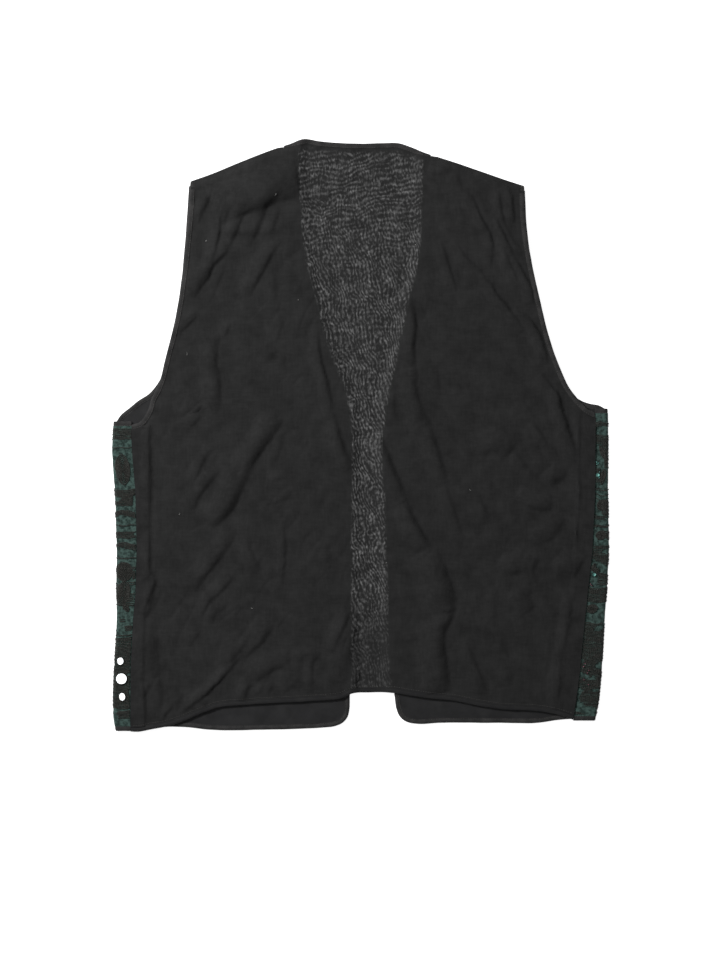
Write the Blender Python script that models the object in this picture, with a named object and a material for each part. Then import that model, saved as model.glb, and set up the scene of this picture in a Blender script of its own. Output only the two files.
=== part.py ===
"""Embellished folk vest, laid flat on its two fronts with the plain back panel up.

The fronts are velvet with a lining, face down on the surface. At each side they roll over the
fold and come back on top as a narrow strip, which is sewn to the back panel at the side seam.
The back is thin black cloth that lies on the fronts and sags between them. Each raw edge has a
narrow binding. X runs to the right, Y towards the neck and Z up, and the vest rests on Z = 0.
Sizes are in millimetres up to add_mesh(), which makes the metres of the scene.
"""

import math

import bmesh
import bpy
import numpy as np

MM = 0.001

# Cloth and seams
VELVET = 1.3  # embroidered velvet
LINING = 1.0
BACK = 1.1  # two layers of thin cloth, sewn as one
SEAM_GAP = 0.3
BINDING_WIDTH = 5.5
FRONT_BINDING = VELVET + SEAM_GAP + LINING + 0.3
BACK_BINDING = 1.6
BINDING_NOSE = 0.2  # share of a binding's width that is its rounded edge
INSET = BINDING_WIDTH + SEAM_GAP  # from the finished edge to the panel beside its binding

# How the layers lie
LINING_FLOOR = VELVET + SEAM_GAP
BACK_FLOOR = FRONT_BINDING + SEAM_GAP
SAG_FLOOR = 0.3  # the back's underside between the fronts
SAG_START = 1.5  # from a front's edge to where the back starts to sag
SAG_RUN = 12.0
ROLL_RADIUS = 3.0  # the outside of the fold at each side
STRIP_TOP_AT_SEAM = 5.0
FRONT_TUCK = 4.5  # the fronts' shoulder edges lie this far inside the outline
SHOULDER_ROLL = 3.0  # the back rolls down over this width at its shoulder edges
SHOULDER_DROP = 2.0
ALLOWANCE_WIDTH = 16.0  # seam allowance felt through the back beside its side seams
ALLOWANCE_FADE = 5.0
ALLOWANCE_RAISE = 0.7
SHOULDER_ALLOWANCE = 11.0
SHOULDER_RAISE = 0.4
NECK_TAPER = 22.0  # the neck binding narrows over this length at each end
NECK_SHARE = 0.8  # of its width, where the shoulder edge meets the neck edge

# How finely the walls are divided
BACK_COLUMNS = 17  # between the seam allowance and a front's edge
SEAM_ROWS = 22
ARMHOLE_ROWS = 22
FRONT_COLUMNS = 8
FRONT_SEAM_ROWS = 14
FRONT_ARMHOLE_ROWS = 16
CORNER_STEPS = (0.0, 6.0, 14.0)  # stations round a front's lower corner
GAP_STEPS = (0.0, 6.0, 13.0)  # columns of the back beside a front's edge
GAP_COLUMNS = 4
ARMHOLE_CROWDING = 1.3  # above 1, stations are closer together at the underarm
ROLL_STEPS = 5
STRIP_STEPS = 2
CURVE_STEPS = 10
FINE_STEPS = 160  # along a shoulder edge, to find the nearest point
FOLD_STEPS = 40
FOLD_FADE = 0.6  # below 1, a fold keeps its height nearer to its ends
TIP_RUN = 12.0  # the stretch of the shoulder edge that gives its direction at the tip


def read_table(text):
    """The columns of a table, by the names in its first line."""
    lines = [line.split() for line in text.strip().splitlines()]
    values = np.array(lines[1:], float)
    return {name: values[:, k] for k, name in enumerate(lines[0])}


# Sections across the sides: where the fronts fold over, and the side seams of the back
SIDES = read_table("""
       y   fold_left  seam_left  seam_right  fold_right
    -326      -270.0     -253.4       231.6       255.6
    -310      -272.4     -253.6       233.8       258.4
    -290      -272.8     -253.6       236.8       261.8
    -259      -271.7     -253.4       240.9       264.8
    -202      -268.6     -250.6       246.4       268.0
    -170      -269.4     -247.8       249.8       270.6
    -126      -268.6     -246.8       254.6       272.8
     -63      -270.8     -247.8       257.0       271.8
     -17      -273.8     -251.2       257.0       271.8
      14      -272.4     -252.5       257.0       271.8
      30      -271.6     -252.5       257.0       271.4
""")

# Sections down the fronts' opening edges, which meet in a V at the chest
OPENING = read_table("""
       y     left    right
     300    -70.3     69.3
     259    -68.2     68.8
     204    -63.8     66.0
     177    -58.3     61.7
     149    -50.6     54.0
     118    -43.5     47.9
      95    -36.3     43.2
      75    -29.0     39.2
      48    -17.8     33.2
      30    -14.6     29.4
      12    -12.3     27.2
      -6    -12.0     24.8
     -71    -11.6     27.5
    -137    -12.3     29.7
    -181    -12.7     31.6
    -236    -12.3     32.0
    -284    -12.2     36.3
""")

# A front's lower edge: round the corner from the opening and along the hem to the side fold
CORNER_LEFT = read_table("""
         x       y
     -12.4  -300.0
     -14.6  -309.5
     -20.0  -316.2
     -29.0  -320.2
     -39.6  -321.4
     -67.0  -322.9
    -111.0  -324.0
    -166.0  -324.0
    -192.0  -321.2
    -216.0  -320.9
    -230.0  -322.9
    -252.0  -325.4
    -267.0  -325.0
""")
CORNER_RIGHT = read_table("""
         x       y
      38.4  -299.0
      41.4  -307.6
      46.4  -313.2
      53.0  -316.2
      61.0  -317.4
      87.0  -316.4
     153.0  -316.4
     197.0  -316.2
     219.0  -313.0
     236.0  -312.0
     253.5  -313.6
""")

# The shoulder and neck edge of the back, from tip to tip, and its hem from seam to seam
TOP = read_table("""
         x       y
    -188.0   279.6
    -165.0   287.7
    -133.0   300.9
     -99.0   314.1
     -79.0   320.9
     -62.0   326.4
     -45.0   324.0
     -23.0   322.2
       0.0   321.4
      24.0   322.0
      43.0   321.6
      54.0   317.9
      69.0   311.9
     109.0   298.7
     131.0   291.0
     153.0   283.3
     180.5   274.3
""")
HEM = read_table("""
         x       y
    -253.6  -325.6
    -245.0  -325.8
    -229.0  -322.9
    -211.0  -319.6
    -195.0  -314.1
    -172.0  -304.7
    -158.0  -299.8
    -125.0  -296.5
     -56.0  -292.6
     -33.0  -291.0
     -19.0  -288.8
     -12.2  -284.8
      10.0  -282.8
      36.3  -283.3
      53.0  -286.1
      80.0  -289.9
     103.0  -292.1
     126.0  -297.0
     150.0  -300.9
     196.0  -303.6
     215.0  -306.9
     232.8  -312.6
""")

# Armholes from the underarm to the shoulder tip, on the back and on the fronts below it
ARMHOLES = {
    "back_left": read_table("""
             x       y
        -252.5    11.6
        -243.9    14.5
        -237.6    21.6
        -233.6    29.5
        -231.0    39.6
        -225.5    50.1
        -221.1    61.1
        -215.6    83.1
        -204.6   127.1
        -194.7   193.1
        -190.3   237.1
        -187.6   279.6
    """),
    "back_right": read_table("""
             x       y
         257.0    25.4
         250.3    28.6
         244.6    33.6
         237.6    41.3
         229.9    51.2
         218.9    74.3
         207.9   105.1
         196.9   149.1
         185.9   200.8
         181.0   237.1
         179.6   274.6
    """),
    "front_left": read_table("""
             x       y
        -269.4    15.5
        -263.6    23.4
        -256.3    29.2
        -244.2    39.1
        -234.3    45.1
        -226.6    53.4
        -221.0    62.0
        -214.6    83.1
        -203.6   127.1
        -195.4   193.1
        -191.9   237.1
        -189.6   274.2
    """),
    "front_right": read_table("""
             x       y
         268.4    29.6
         261.5    33.4
         254.0    34.6
         244.6    37.4
         236.2    42.3
         228.9    51.2
         217.9    74.3
         206.9   105.1
         195.9   149.1
         185.9   200.8
         182.0   237.1
         180.6   269.4
    """),
}

# The largest folds of the back: four points along the crest, its height, and how far it
# spreads to the left and to the right of the way it runs
FOLDS = read_table("""
      x1    y1    x2    y2    x3    y3    x4    y4  height  left  right
    -158   107  -163    77  -157    55  -160    28    3.0    12     15
     -88    15  -108   -14  -132   -52  -161   -92    4.5    13     20
    -142  -107  -156  -128  -172  -155  -188  -179    3.0    13     16
    -142  -156  -156  -172  -171  -190  -186  -208    2.5    12     15
    -102  -213  -130  -241  -161  -271  -190  -299    4.0    13     17
    -232  -206  -227  -245  -221  -280  -226  -308    2.5    10     14
      22     0    40   -50    66  -108    88  -148    5.0    13     20
      84  -140   100  -186    88  -226    91  -272    4.5    16     22
      55   145    60   110    60    60    72     8    3.5    13     16
      68    20    87   -24    99   -69   112  -104    3.0    13     16
     -48   115   -40    72   -30    30   -12   -30    4.0    16     13
    -155   241  -128   252  -100   262   -76   267    3.5    15     18
    -100   259  -108   240  -116   224  -123   209    2.5    12     14
     -91   215  -101   196  -114   174  -126   154    2.5    13     14
    -146   206  -158   190  -170   175  -180   162    2.5    12     14
     104   284   118   266   131   246   142   222    3.0    12     14
     150   270   154   236   162   208   174   178    3.0    12     12
     131   178   144   158   158   141   174   124    2.5    13     14
     191   -78   184  -102   176  -126   168  -149    3.0    16     18
     217  -146   205  -154   191  -164   177  -174    2.5    13     15
      -5  -221    -6  -240    -6  -259    -6  -276    2.5    10     10
""")

# Small round mirrors sewn on the left strip near the hem
MIRRORS = read_table("""
         x       y  diameter
    -264.6  -248.0       8.4
    -263.4  -267.4      12.0
    -262.6  -287.3       8.6
""")
MIRROR_THICKNESS = 1.0
MIRROR_SIDES = 20


def curve(points):
    """A smooth line through the points, with CURVE_STEPS steps from each to the next."""
    points = np.asarray(points, float)
    spans = np.linalg.norm(np.diff(points, axis=0), axis=1)[:, None]
    slopes = np.diff(points, axis=0) / spans
    inner = (slopes[1:] * spans[:-1] + slopes[:-1] * spans[1:]) / (spans[1:] + spans[:-1])
    tangents = np.vstack([slopes[:1], inner, slopes[-1:]])
    line = []
    for k, span in enumerate(spans):
        for t in np.linspace(0.0, 1.0, CURVE_STEPS, endpoint=False):
            line.append(
                (2 * t**3 - 3 * t**2 + 1) * points[k]
                + (t**3 - 2 * t**2 + t) * span * tangents[k]
                + (3 * t**2 - 2 * t**3) * points[k + 1]
                + (t**3 - t**2) * span * tangents[k + 1]
            )
    return np.array(line + [points[-1]])


def table_curve(table):
    """The smooth line through a table's x and y columns."""
    return curve(np.column_stack([table["x"], table["y"]]))


def run_along(line):
    """The distance of each point of a line from its start."""
    return np.concatenate([[0.0], np.cumsum(np.linalg.norm(np.diff(line, axis=0), axis=1))])


def at_distances(line, distances):
    """The points of a line at these distances from its start."""
    run = run_along(line)
    return np.column_stack([np.interp(distances, run, line[:, k]) for k in range(line.shape[1])])


def spaced(line, count):
    """count + 1 points evenly along a line."""
    return at_distances(line, np.linspace(0.0, run_along(line)[-1], count + 1))


def cut_line(line, low, high, axis=0):
    """The stretch of a line whose coordinate on this axis goes from low to high, ends added."""
    at = line[:, axis]
    order = np.argsort(at)
    ends = [np.interp([v], at[order], line[order, 1 - axis])[0] for v in (low, high)]
    keep = line[(at > low) & (at < high)]
    first, last = np.zeros(2), np.zeros(2)
    first[axis], first[1 - axis] = low, ends[0]
    last[axis], last[1 - axis] = high, ends[1]
    if at[0] > at[-1]:
        return np.vstack([last, keep, first])
    return np.vstack([first, keep, last])


def inward(points, side, start=None, end=None):
    """Unit normals of a line, on its left for side 1 or right for -1, with the ends given."""
    along = np.gradient(points, axis=0)
    along /= np.linalg.norm(along, axis=1)[:, None]
    normals = side * np.column_stack([-along[:, 1], along[:, 0]])
    if start is not None:
        normals[0] = start
    if end is not None:
        normals[-1] = end
    return normals


def smooth_step(share):
    """0 to 1 with level ends."""
    share = np.clip(share, 0.0, 1.0)
    return share * share * (3.0 - 2.0 * share)


def opening_line(side):
    """The opening edge of the left or right front, from the neck edge of the back down."""
    x = OPENING[side]
    neck = (x[0], np.interp(x[0], TOP_LINE[:, 0], TOP_LINE[:, 1]))
    return curve(np.vstack([neck, np.column_stack([x, OPENING["y"]])]))


def side_x(name, y):
    """Where a side fold or side seam crosses this level."""
    return np.interp(y, SIDES["y"], SIDES[name])


TOP_LINE = table_curve(TOP)
HEM_LINE = table_curve(HEM)
OPENING_LINES = {side: opening_line(side) for side in ("left", "right")}
NECK_ENDS = (-74.0, 66.0)  # where the shoulder edges meet the neck edge


def opening_x(side, y):
    """Where the left or right opening edge crosses this level."""
    line = OPENING_LINES[side][::-1]
    return np.interp(y, line[:, 1], line[:, 0])


def distance_to(line, points):
    """From each point to the nearest point of a line."""
    fine = spaced(line, FINE_STEPS)
    return np.linalg.norm(points[:, None] - fine[None], axis=2).min(axis=1)


def shoulder_distance(points):
    """From each point to the nearer shoulder edge."""
    left = cut_line(TOP_LINE, TOP["x"][0], NECK_ENDS[0])
    right = cut_line(TOP_LINE, NECK_ENDS[1], TOP["x"][-1])
    return np.minimum(distance_to(left, points), distance_to(right, points))


def fold_lift(points):
    """How far the folds lift the back at each point."""
    lift = np.zeros(len(points))
    for k in range(len(FOLDS["x1"])):
        fold = {name: column[k] for name, column in FOLDS.items()}
        crest = spaced(curve([(fold[f"x{n}"], fold[f"y{n}"]) for n in (1, 2, 3, 4)]), FOLD_STEPS)
        away = points[:, None] - crest[None]
        near = np.linalg.norm(away, axis=2).argmin(axis=1)
        along = np.gradient(crest, axis=0)[near]
        across = away[np.arange(len(points)), near]
        left_of = along[:, 0] * across[:, 1] - along[:, 1] * across[:, 0] > 0
        spread = np.where(left_of, fold["left"], fold["right"])
        share = np.clip(np.linalg.norm(across, axis=1) / spread, 0.0, 1.0)
        fade = np.sin(math.pi * near / FOLD_STEPS) ** FOLD_FADE
        lift = np.maximum(lift, fold["height"] * fade * (1.0 - share**2) ** 2)
    return lift


def back_floor(points):
    """The height of the back's underside at each point."""
    points = np.asarray(points, float)
    from_left = points[:, 0] - opening_x("left", points[:, 1])
    from_right = opening_x("right", points[:, 1]) - points[:, 0]
    sag = smooth_step((np.minimum(from_left, from_right) - SAG_START) / SAG_RUN)
    level = BACK_FLOOR + (SAG_FLOOR - BACK_FLOOR) * sag
    roll = np.clip(1.0 - shoulder_distance(points) / SHOULDER_ROLL, 0.0, 1.0)
    return level + fold_lift(points) - SHOULDER_DROP * roll


def back_raise(points):
    """How far seam allowances raise the outer face of the back at each point."""
    x, y = points[:, 0], points[:, 1]
    from_seam = np.minimum(x - side_x("seam_left", y), side_x("seam_right", y) - x)
    beside = np.clip((ALLOWANCE_WIDTH + ALLOWANCE_FADE - from_seam) / ALLOWANCE_FADE, 0.0, 1.0)
    below_arm = np.clip((ARMHOLES["back_left"]["y"][0] - y) / ALLOWANCE_FADE, 0.0, 1.0)
    across = np.clip((SHOULDER_ALLOWANCE - shoulder_distance(points)) / ALLOWANCE_FADE, 0.0, 1.0)
    return ALLOWANCE_RAISE * beside * below_arm + SHOULDER_RAISE * across


def make_material(name, colour, roughness, metallic=0.0):
    """A plain finish."""
    material = bpy.data.materials.new(name)
    material.use_nodes = True
    shader = material.node_tree.nodes["Principled BSDF"]
    shader.inputs["Base Color"].default_value = (*colour, 1.0)
    shader.inputs["Roughness"].default_value = roughness
    shader.inputs["Metallic"].default_value = metallic
    return material


def add_mesh(name, points, faces, material):
    """An object from points in millimetres, its faces turned outwards and shaded smooth."""
    mesh = bpy.data.meshes.new(name)
    bm = bmesh.new()
    verts = [bm.verts.new(np.asarray(point) * MM) for point in points]
    for face in faces:
        bm.faces.new([verts[k] for k in face])
    bmesh.ops.recalc_face_normals(bm, faces=bm.faces)
    bm.to_mesh(mesh)
    bm.free()
    mesh.shade_smooth()
    mesh.set_sharp_from_angle(angle=math.radians(40))
    mesh.materials.append(material)
    obj = bpy.data.objects.new(name, mesh)
    bpy.context.scene.collection.objects.link(obj)
    return obj


def add_wall(name, outer, inner, quads, material):
    """A closed wall of cloth: the quads on its outer face, on its inner face, and a rim."""
    outer, inner = np.asarray(outer, float), np.asarray(inner, float)
    count = len(outer)
    triangles = []
    for a, b, c, d in quads:
        if np.linalg.norm(outer[a] - outer[c]) <= np.linalg.norm(outer[b] - outer[d]):
            triangles += [(a, b, c), (a, c, d)]
        else:
            triangles += [(a, b, d), (b, c, d)]
    edges = {(t[k], t[(k + 1) % 3]) for t in triangles for k in range(3)}
    rim = [(a, b) for a, b in sorted(edges) if (b, a) not in edges]
    faces = list(triangles)
    faces += [(c + count, b + count, a + count) for a, b, c in triangles]
    for a, b in rim:
        faces += [(b, a, a + count), (b, a + count, b + count)]
    return add_mesh(name, np.vstack([outer, inner]), faces, material)


def add_loft(name, sections, material):
    """A closed solid through sections that all have the same number of points."""
    around = len(sections[0])
    faces = [tuple(range(around))]
    for k in range(len(sections) - 1):
        for n in range(around):
            low, high = k * around, (k + 1) * around
            faces.append((low + n, low + (n + 1) % around, high + (n + 1) % around, high + n))
    faces.append(tuple((len(sections) - 1) * around + n for n in range(around)))
    return add_mesh(name, np.vstack(sections), faces, material)


def binding_shape(width, thickness):
    """The section of a binding: a soft nose on the finished edge, and two flat sides."""
    nose = width * BINDING_NOSE
    return [(0.0, thickness / 2.0), (nose, 0.0), (width, 0.0), (width, thickness), (nose, thickness)]


def flat_sections(edge, normals, widths, thickness, floor):
    """Sections of a binding that lies along an edge, its underside on the given floor."""
    sections = []
    for point, normal, width in zip(edge, normals, widths):
        shape = np.array(binding_shape(width, thickness))
        plan = point + shape[:, :1] * normal
        sections.append(np.column_stack([plan, floor(plan) + shape[:, 1]]))
    return sections


def on_floor(plan):
    """The floor under the fronts."""
    return np.zeros(len(plan))


def grid_quads(rows, columns):
    """The quads of a grid whose points are numbered along each row."""
    return [
        (j * columns + k, j * columns + k + 1, (j + 1) * columns + k + 1, (j + 1) * columns + k)
        for j in range(rows - 1) for k in range(columns - 1)
    ]


def patch(left, right, bottom, top, shares):
    """Points across a patch between four lines, with the share of the way across on each row."""
    rise = run_along((left + right) / 2.0)
    rise /= rise[-1]
    plain = left[:, None] + shares[:, :, None] * (right - left)[:, None]
    lower = (1.0 - rise)[:, None, None] * (bottom - plain[0])[None]
    upper = rise[:, None, None] * (top - plain[-1])[None]
    return plain + lower + upper


def seam_shares(width):
    """Columns from a side seam: the edges of the seam allowance, then even ones."""
    band = [0.0, ALLOWANCE_WIDTH / width, (ALLOWANCE_WIDTH + ALLOWANCE_FADE) / width]
    return np.concatenate([band[:2], np.linspace(band[2], 1.0, BACK_COLUMNS)])


def gap_shares(width):
    """Columns across the gap between the fronts: close ones at both edges."""
    near = np.array(GAP_STEPS) / width
    middle = np.linspace(near[-1], 1.0 - near[-1], GAP_COLUMNS + 1)
    return np.concatenate([near[:-1], middle, 1.0 - near[-2::-1]])


def neck_inset(x):
    """How far the back ends inside its top outline: a binding's width along the neck."""
    runs = np.minimum(x - NECK_ENDS[0], NECK_ENDS[1] - x) / NECK_TAPER + NECK_SHARE
    return INSET * np.clip(runs, 0.0, 1.0)


def seam_direction(side, level):
    """The way the side seam runs down from this level."""
    low = level - INSET
    down = np.array((side_x(f"seam_{side}", low) - side_x(f"seam_{side}", level), -INSET))
    return down / np.linalg.norm(down)


def back_side_chain(side):
    """The edge of the back from hem to shoulder tip at one side, and its armhole's normals."""
    sign = {"left": 1.0, "right": -1.0}[side]
    armhole = table_curve(ARMHOLES[f"back_{side}"])
    length = run_along(armhole)[-1]
    stations = (length - SHOULDER_ROLL) * np.linspace(0.0, 1.0, ARMHOLE_ROWS) ** ARMHOLE_CROWDING
    edge = at_distances(armhole, np.append(stations, length))
    tip = cut_line(TOP_LINE, *sorted((edge[-1][0], edge[-1][0] + TIP_RUN * sign)))
    along = sign * (tip[-1] - tip[0]) / np.linalg.norm(tip[-1] - tip[0])
    down = seam_direction(side, edge[0][1])
    normals = inward(edge, -sign, start=down, end=along)
    panel = edge + INSET * normals
    seam_top = edge[0][1] - INSET
    hem_level = {"left": HEM["y"][0], "right": HEM["y"][-1]}[side]
    levels = np.linspace(hem_level + INSET, seam_top, SEAM_ROWS + 1)
    seam = np.column_stack([side_x(f"seam_{side}", levels) + sign * SEAM_GAP / 2.0, levels])
    panel[0] = seam[-1]
    edge[0][0] += sign * SEAM_GAP / 2.0
    return np.vstack([seam, panel[1:]]), edge, normals


def opening_chain(side, underarm_level):
    """Points up a front's opening edge, on the rows of the back."""
    line = OPENING_LINES[side][::-1]
    hem = np.interp(line[0][0], HEM_LINE[:, 0], HEM_LINE[:, 1]) + INSET
    stop = line[-1][1] - neck_inset(line[-1][0])
    low = spaced(cut_line(line, hem, underarm_level, axis=1), SEAM_ROWS)
    high = spaced(cut_line(line, underarm_level, stop - SHOULDER_ROLL, axis=1), ARMHOLE_ROWS - 1)
    end = [[np.interp(stop, line[:, 1], line[:, 0]), stop]]
    return np.vstack([low, high[1:], end])


def edge_stations(line, first_x, last_x, share_rule):
    """Stations along the top or the hem between two columns, spaced by the rule."""
    stretch = cut_line(line, first_x, last_x)
    length = run_along(stretch)[-1]
    return at_distances(stretch, share_rule(length) * length)


def build_back(materials):
    """The back panel with the bindings of its hem, neck and armholes."""
    left, left_edge, left_normals = back_side_chain("left")
    right, right_edge, right_normals = back_side_chain("right")
    underarm = (left[SEAM_ROWS][1] + right[SEAM_ROWS][1]) / 2.0
    opening = {side: opening_chain(side, underarm) for side in ("left", "right")}

    def from_right(width):
        return 1.0 - seam_shares(width)[::-1]

    # The hem and the top edge, with stations at the columns of the three blocks
    lines = (left, opening["left"], opening["right"], right)
    rules = (seam_shares, gap_shares, from_right)
    hem, top, joints = [], [], [0]
    for first, last, rule in zip(lines[:-1], lines[1:], rules):
        hem += list(edge_stations(HEM_LINE, first[0][0], last[0][0], rule))[len(hem) > 0:]
        top += list(edge_stations(TOP_LINE, first[-1][0], last[-1][0], rule))[len(top) > 0:]
        joints.append(len(hem) - 1)
    hem, top = np.array(hem), np.array(top)
    for end, side, sign in ((0, "left", 1.0), (-1, "right", -1.0)):
        hem[end] = (side_x(f"seam_{side}", HEM["y"][end]) + sign * SEAM_GAP / 2.0, HEM["y"][end])
    up = [-seam_direction(side, HEM["y"][end] + INSET) for side, end in (("left", 0), ("right", -1))]
    hem_normals = inward(hem, 1.0, start=up[0], end=up[1])
    top_normals = inward(top, -1.0)

    # The panel's own edges lie inside those by the width of the bindings
    bottom = hem + INSET * hem_normals
    finished = top + neck_inset(top[:, 0])[:, None] * top_normals
    below = finished + SHOULDER_ROLL * top_normals
    for joint, line in zip(joints[1:-1], lines[1:-1]):
        line[0], line[-2], line[-1] = bottom[joint], below[joint], finished[joint]
    for joint, line in ((0, left), (-1, right)):
        bottom[joint], below[joint], finished[joint] = line[0], line[-2], line[-1]
    blocks = []
    for k, rule in enumerate(rules):
        first, last = lines[k][:-1], lines[k + 1][:-1]
        span = slice(joints[k], joints[k + 1] + 1)
        shares = np.array([rule(width) for width in np.linalg.norm(last - first, axis=1)])
        blocks.append(patch(first, last, bottom[span], below[span], shares)[:, int(k > 0):])
    grid = np.concatenate([np.concatenate(blocks, axis=1), finished[None]])
    rows, columns = grid.shape[:2]
    plan = grid.reshape(-1, 2)
    floor = back_floor(plan)
    inner = np.column_stack([plan, floor])
    outer = np.column_stack([plan, floor + BACK + back_raise(plan)])
    add_wall("back", outer, inner, grid_quads(rows, columns), materials["voile"])

    neck_widths = neck_inset(top[:, 0]) - SEAM_GAP
    neck = neck_widths > BINDING_WIDTH / 4.0
    for name, edge, normals, widths in (
        ("hem_binding", hem, hem_normals, np.full(len(hem), BINDING_WIDTH)),
        ("neck_binding", top[neck], top_normals[neck], neck_widths[neck]),
        ("armhole_binding_left", left_edge, left_normals, np.full(len(left_edge), BINDING_WIDTH)),
        ("armhole_binding_right", right_edge, right_normals, np.full(len(right_edge), BINDING_WIDTH)),
    ):
        sections = flat_sections(edge, normals, widths, BACK_BINDING, back_floor)
        add_loft(name, sections, materials["binding"])


def wrap_section(side, y, thickness):
    """Outer and inner points of a front where it rolls over the side fold to its seam."""
    sign = {"left": 1.0, "right": -1.0}[side]
    fold = side_x(f"fold_{side}", y)
    seam = side_x(f"seam_{side}", y) - sign * SEAM_GAP / 2.0
    outer, inner = [], []
    for angle in np.linspace(0.0, math.pi, ROLL_STEPS + 1):
        across, up = math.sin(angle), math.cos(angle)
        x = fold + sign * ROLL_RADIUS * (1.0 - across)
        z = ROLL_RADIUS * (1.0 - up)
        outer.append((x, y, z))
        inner.append((x + sign * thickness * across, y, z + thickness * up))
    for share in np.linspace(0.0, 1.0, STRIP_STEPS + 1)[1:]:
        x = outer[ROLL_STEPS][0] * (1.0 - share) + seam * share
        z = 2.0 * ROLL_RADIUS * (1.0 - share) + STRIP_TOP_AT_SEAM * share
        outer.append((x, y, z))
        inner.append((x, y, z - thickness))
    return np.array(outer), np.array(inner)


def wrap_binding(side, y, thickness, into):
    """Sections of a binding that follows the roll and the strip at one level."""
    edge = wrap_section(side, y, thickness)
    beside = wrap_section(side, y + into * BINDING_WIDTH, thickness)
    sections = []
    for corners in zip(*edge, *beside):
        edge_low, edge_high, low, high = corners
        sections.append(np.array([
            (1.0 - lift) * ((1.0 - across) * edge_low + across * low)
            + lift * ((1.0 - across) * edge_high + across * high)
            for across, lift in binding_shape(1.0, 1.0)
        ]))
    return sections


def build_front(side, materials):
    """One front with its lining and its edge and armhole bindings."""
    sign = {"left": 1.0, "right": -1.0}[side]
    tangent_x = sign * ROLL_RADIUS  # from the fold to where the roll leaves the floor

    # The finished edge in two runs from the lower corner: up the opening, and along the hem
    corner = {"left": CORNER_LEFT, "right": CORNER_RIGHT}[side]
    lower = table_curve(corner)
    full = np.vstack([OPENING_LINES[side][:-1], lower])
    middle = len(OPENING_LINES[side]) - 1 + 2 * CURVE_STEPS
    opening, hem = full[middle::-1], full[middle:]
    armhole = table_curve(ARMHOLES[f"front_{side}"])
    underarm = armhole[0][1]
    hem_level = hem[-1][1]

    below = cut_line(opening, opening[0][1], underarm, axis=1)
    above = cut_line(opening, underarm, opening[-1][1] - FRONT_TUCK, axis=1)
    run = run_along(below)[-1]
    steps = np.concatenate([CORNER_STEPS[:-1], np.linspace(CORNER_STEPS[-1], run, FRONT_SEAM_ROWS)])
    upward = np.vstack([at_distances(below, steps), spaced(above, FRONT_ARMHOLE_ROWS)[1:]])
    run = run_along(hem)[-1]
    steps = np.concatenate([CORNER_STEPS[:-1], np.linspace(CORNER_STEPS[-1], run, FRONT_COLUMNS)])
    outward = at_distances(hem, steps)
    outward[-1] = (side_x(f"fold_{side}", hem_level) + tangent_x, hem_level)

    edge = np.vstack([upward[::-1], outward[1:]])
    shoulder = cut_line(TOP_LINE, *sorted((edge[0][0], armhole[-1][0])))
    along = sign * (shoulder[0] - shoulder[-1])
    along /= np.linalg.norm(along)
    normals = inward(edge, -sign, start=along, end=(0.0, 1.0))
    inset_edge = edge + INSET * normals
    corner_at = len(upward) - 1
    inner_chain = inset_edge[corner_at::-1]
    hem_chain = inset_edge[corner_at:]

    # The armhole and side, from the hem up, on the same rows as the opening
    stations = np.linspace(0.0, 1.0, FRONT_ARMHOLE_ROWS + 1) ** ARMHOLE_CROWDING
    arm = at_distances(armhole, run_along(armhole)[-1] * stations)
    arm[0][0] = side_x(f"fold_{side}", underarm) + tangent_x
    arm_normals = inward(arm, -sign, start=(0.0, -1.0), end=-along)
    count = len(upward) - FRONT_ARMHOLE_ROWS
    levels = np.linspace(hem_chain[-1][1], underarm - INSET, count)
    side_chain = np.column_stack([side_x(f"fold_{side}", levels) + tangent_x, levels])
    side_chain = np.vstack([side_chain, (arm + INSET * arm_normals)[1:]])

    # The body of the panel, flat on the floor
    top = spaced(shoulder, len(hem_chain) - 1)[::int(-sign)] - np.array((0.0, FRONT_TUCK))
    top[0], top[-1] = inner_chain[-1], side_chain[-1]
    share = run_along(hem_chain) / run_along(hem_chain)[-1]
    shares = np.tile(share, (len(inner_chain), 1))
    body = patch(inner_chain, side_chain, hem_chain, top, shares)
    rows, columns = body.shape[:2]
    plan = body.reshape(-1, 2)
    flat = np.zeros((len(plan), 1))
    outer = np.hstack([plan, flat])
    inner = np.hstack([plan, flat + VELVET])
    quads = grid_quads(rows, columns)

    # The wrap round the side fold to the seam, on the rows below the underarm
    wrap_columns = ROLL_STEPS + STRIP_STEPS
    start = len(outer)
    for level in levels:
        outside, inside = wrap_section(side, level, VELVET)
        outer = np.vstack([outer, outside[1:]])
        inner = np.vstack([inner, inside[1:]])
    for j in range(count - 1):
        low = [j * columns + columns - 1] + [start + j * wrap_columns + k for k in range(wrap_columns)]
        high = [(j + 1) * columns + columns - 1]
        high += [start + (j + 1) * wrap_columns + k for k in range(wrap_columns)]
        quads += [(low[k], low[k + 1], high[k + 1], high[k]) for k in range(wrap_columns)]
    add_wall(f"front_{side}", outer, inner, quads, materials["velvet"])

    low = np.hstack([plan, flat + LINING_FLOOR])
    high = np.hstack([plan, flat + LINING_FLOOR + LINING])
    add_wall(f"front_lining_{side}", high, low, grid_quads(rows, columns), materials["lining"])

    widths = np.full(len(edge), BINDING_WIDTH)
    sections = flat_sections(edge, normals, widths, FRONT_BINDING, on_floor)
    sections += wrap_binding(side, hem_level, VELVET, 1.0)[1:]
    add_loft(f"front_edge_binding_{side}", sections, materials["binding"])
    widths = np.full(len(arm), BINDING_WIDTH)
    sections = flat_sections(arm, arm_normals, widths, FRONT_BINDING, on_floor)[::-1]
    sections += wrap_binding(side, underarm, VELVET, -1.0)[1:]
    add_loft(f"front_armhole_binding_{side}", sections, materials["binding"])


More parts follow.
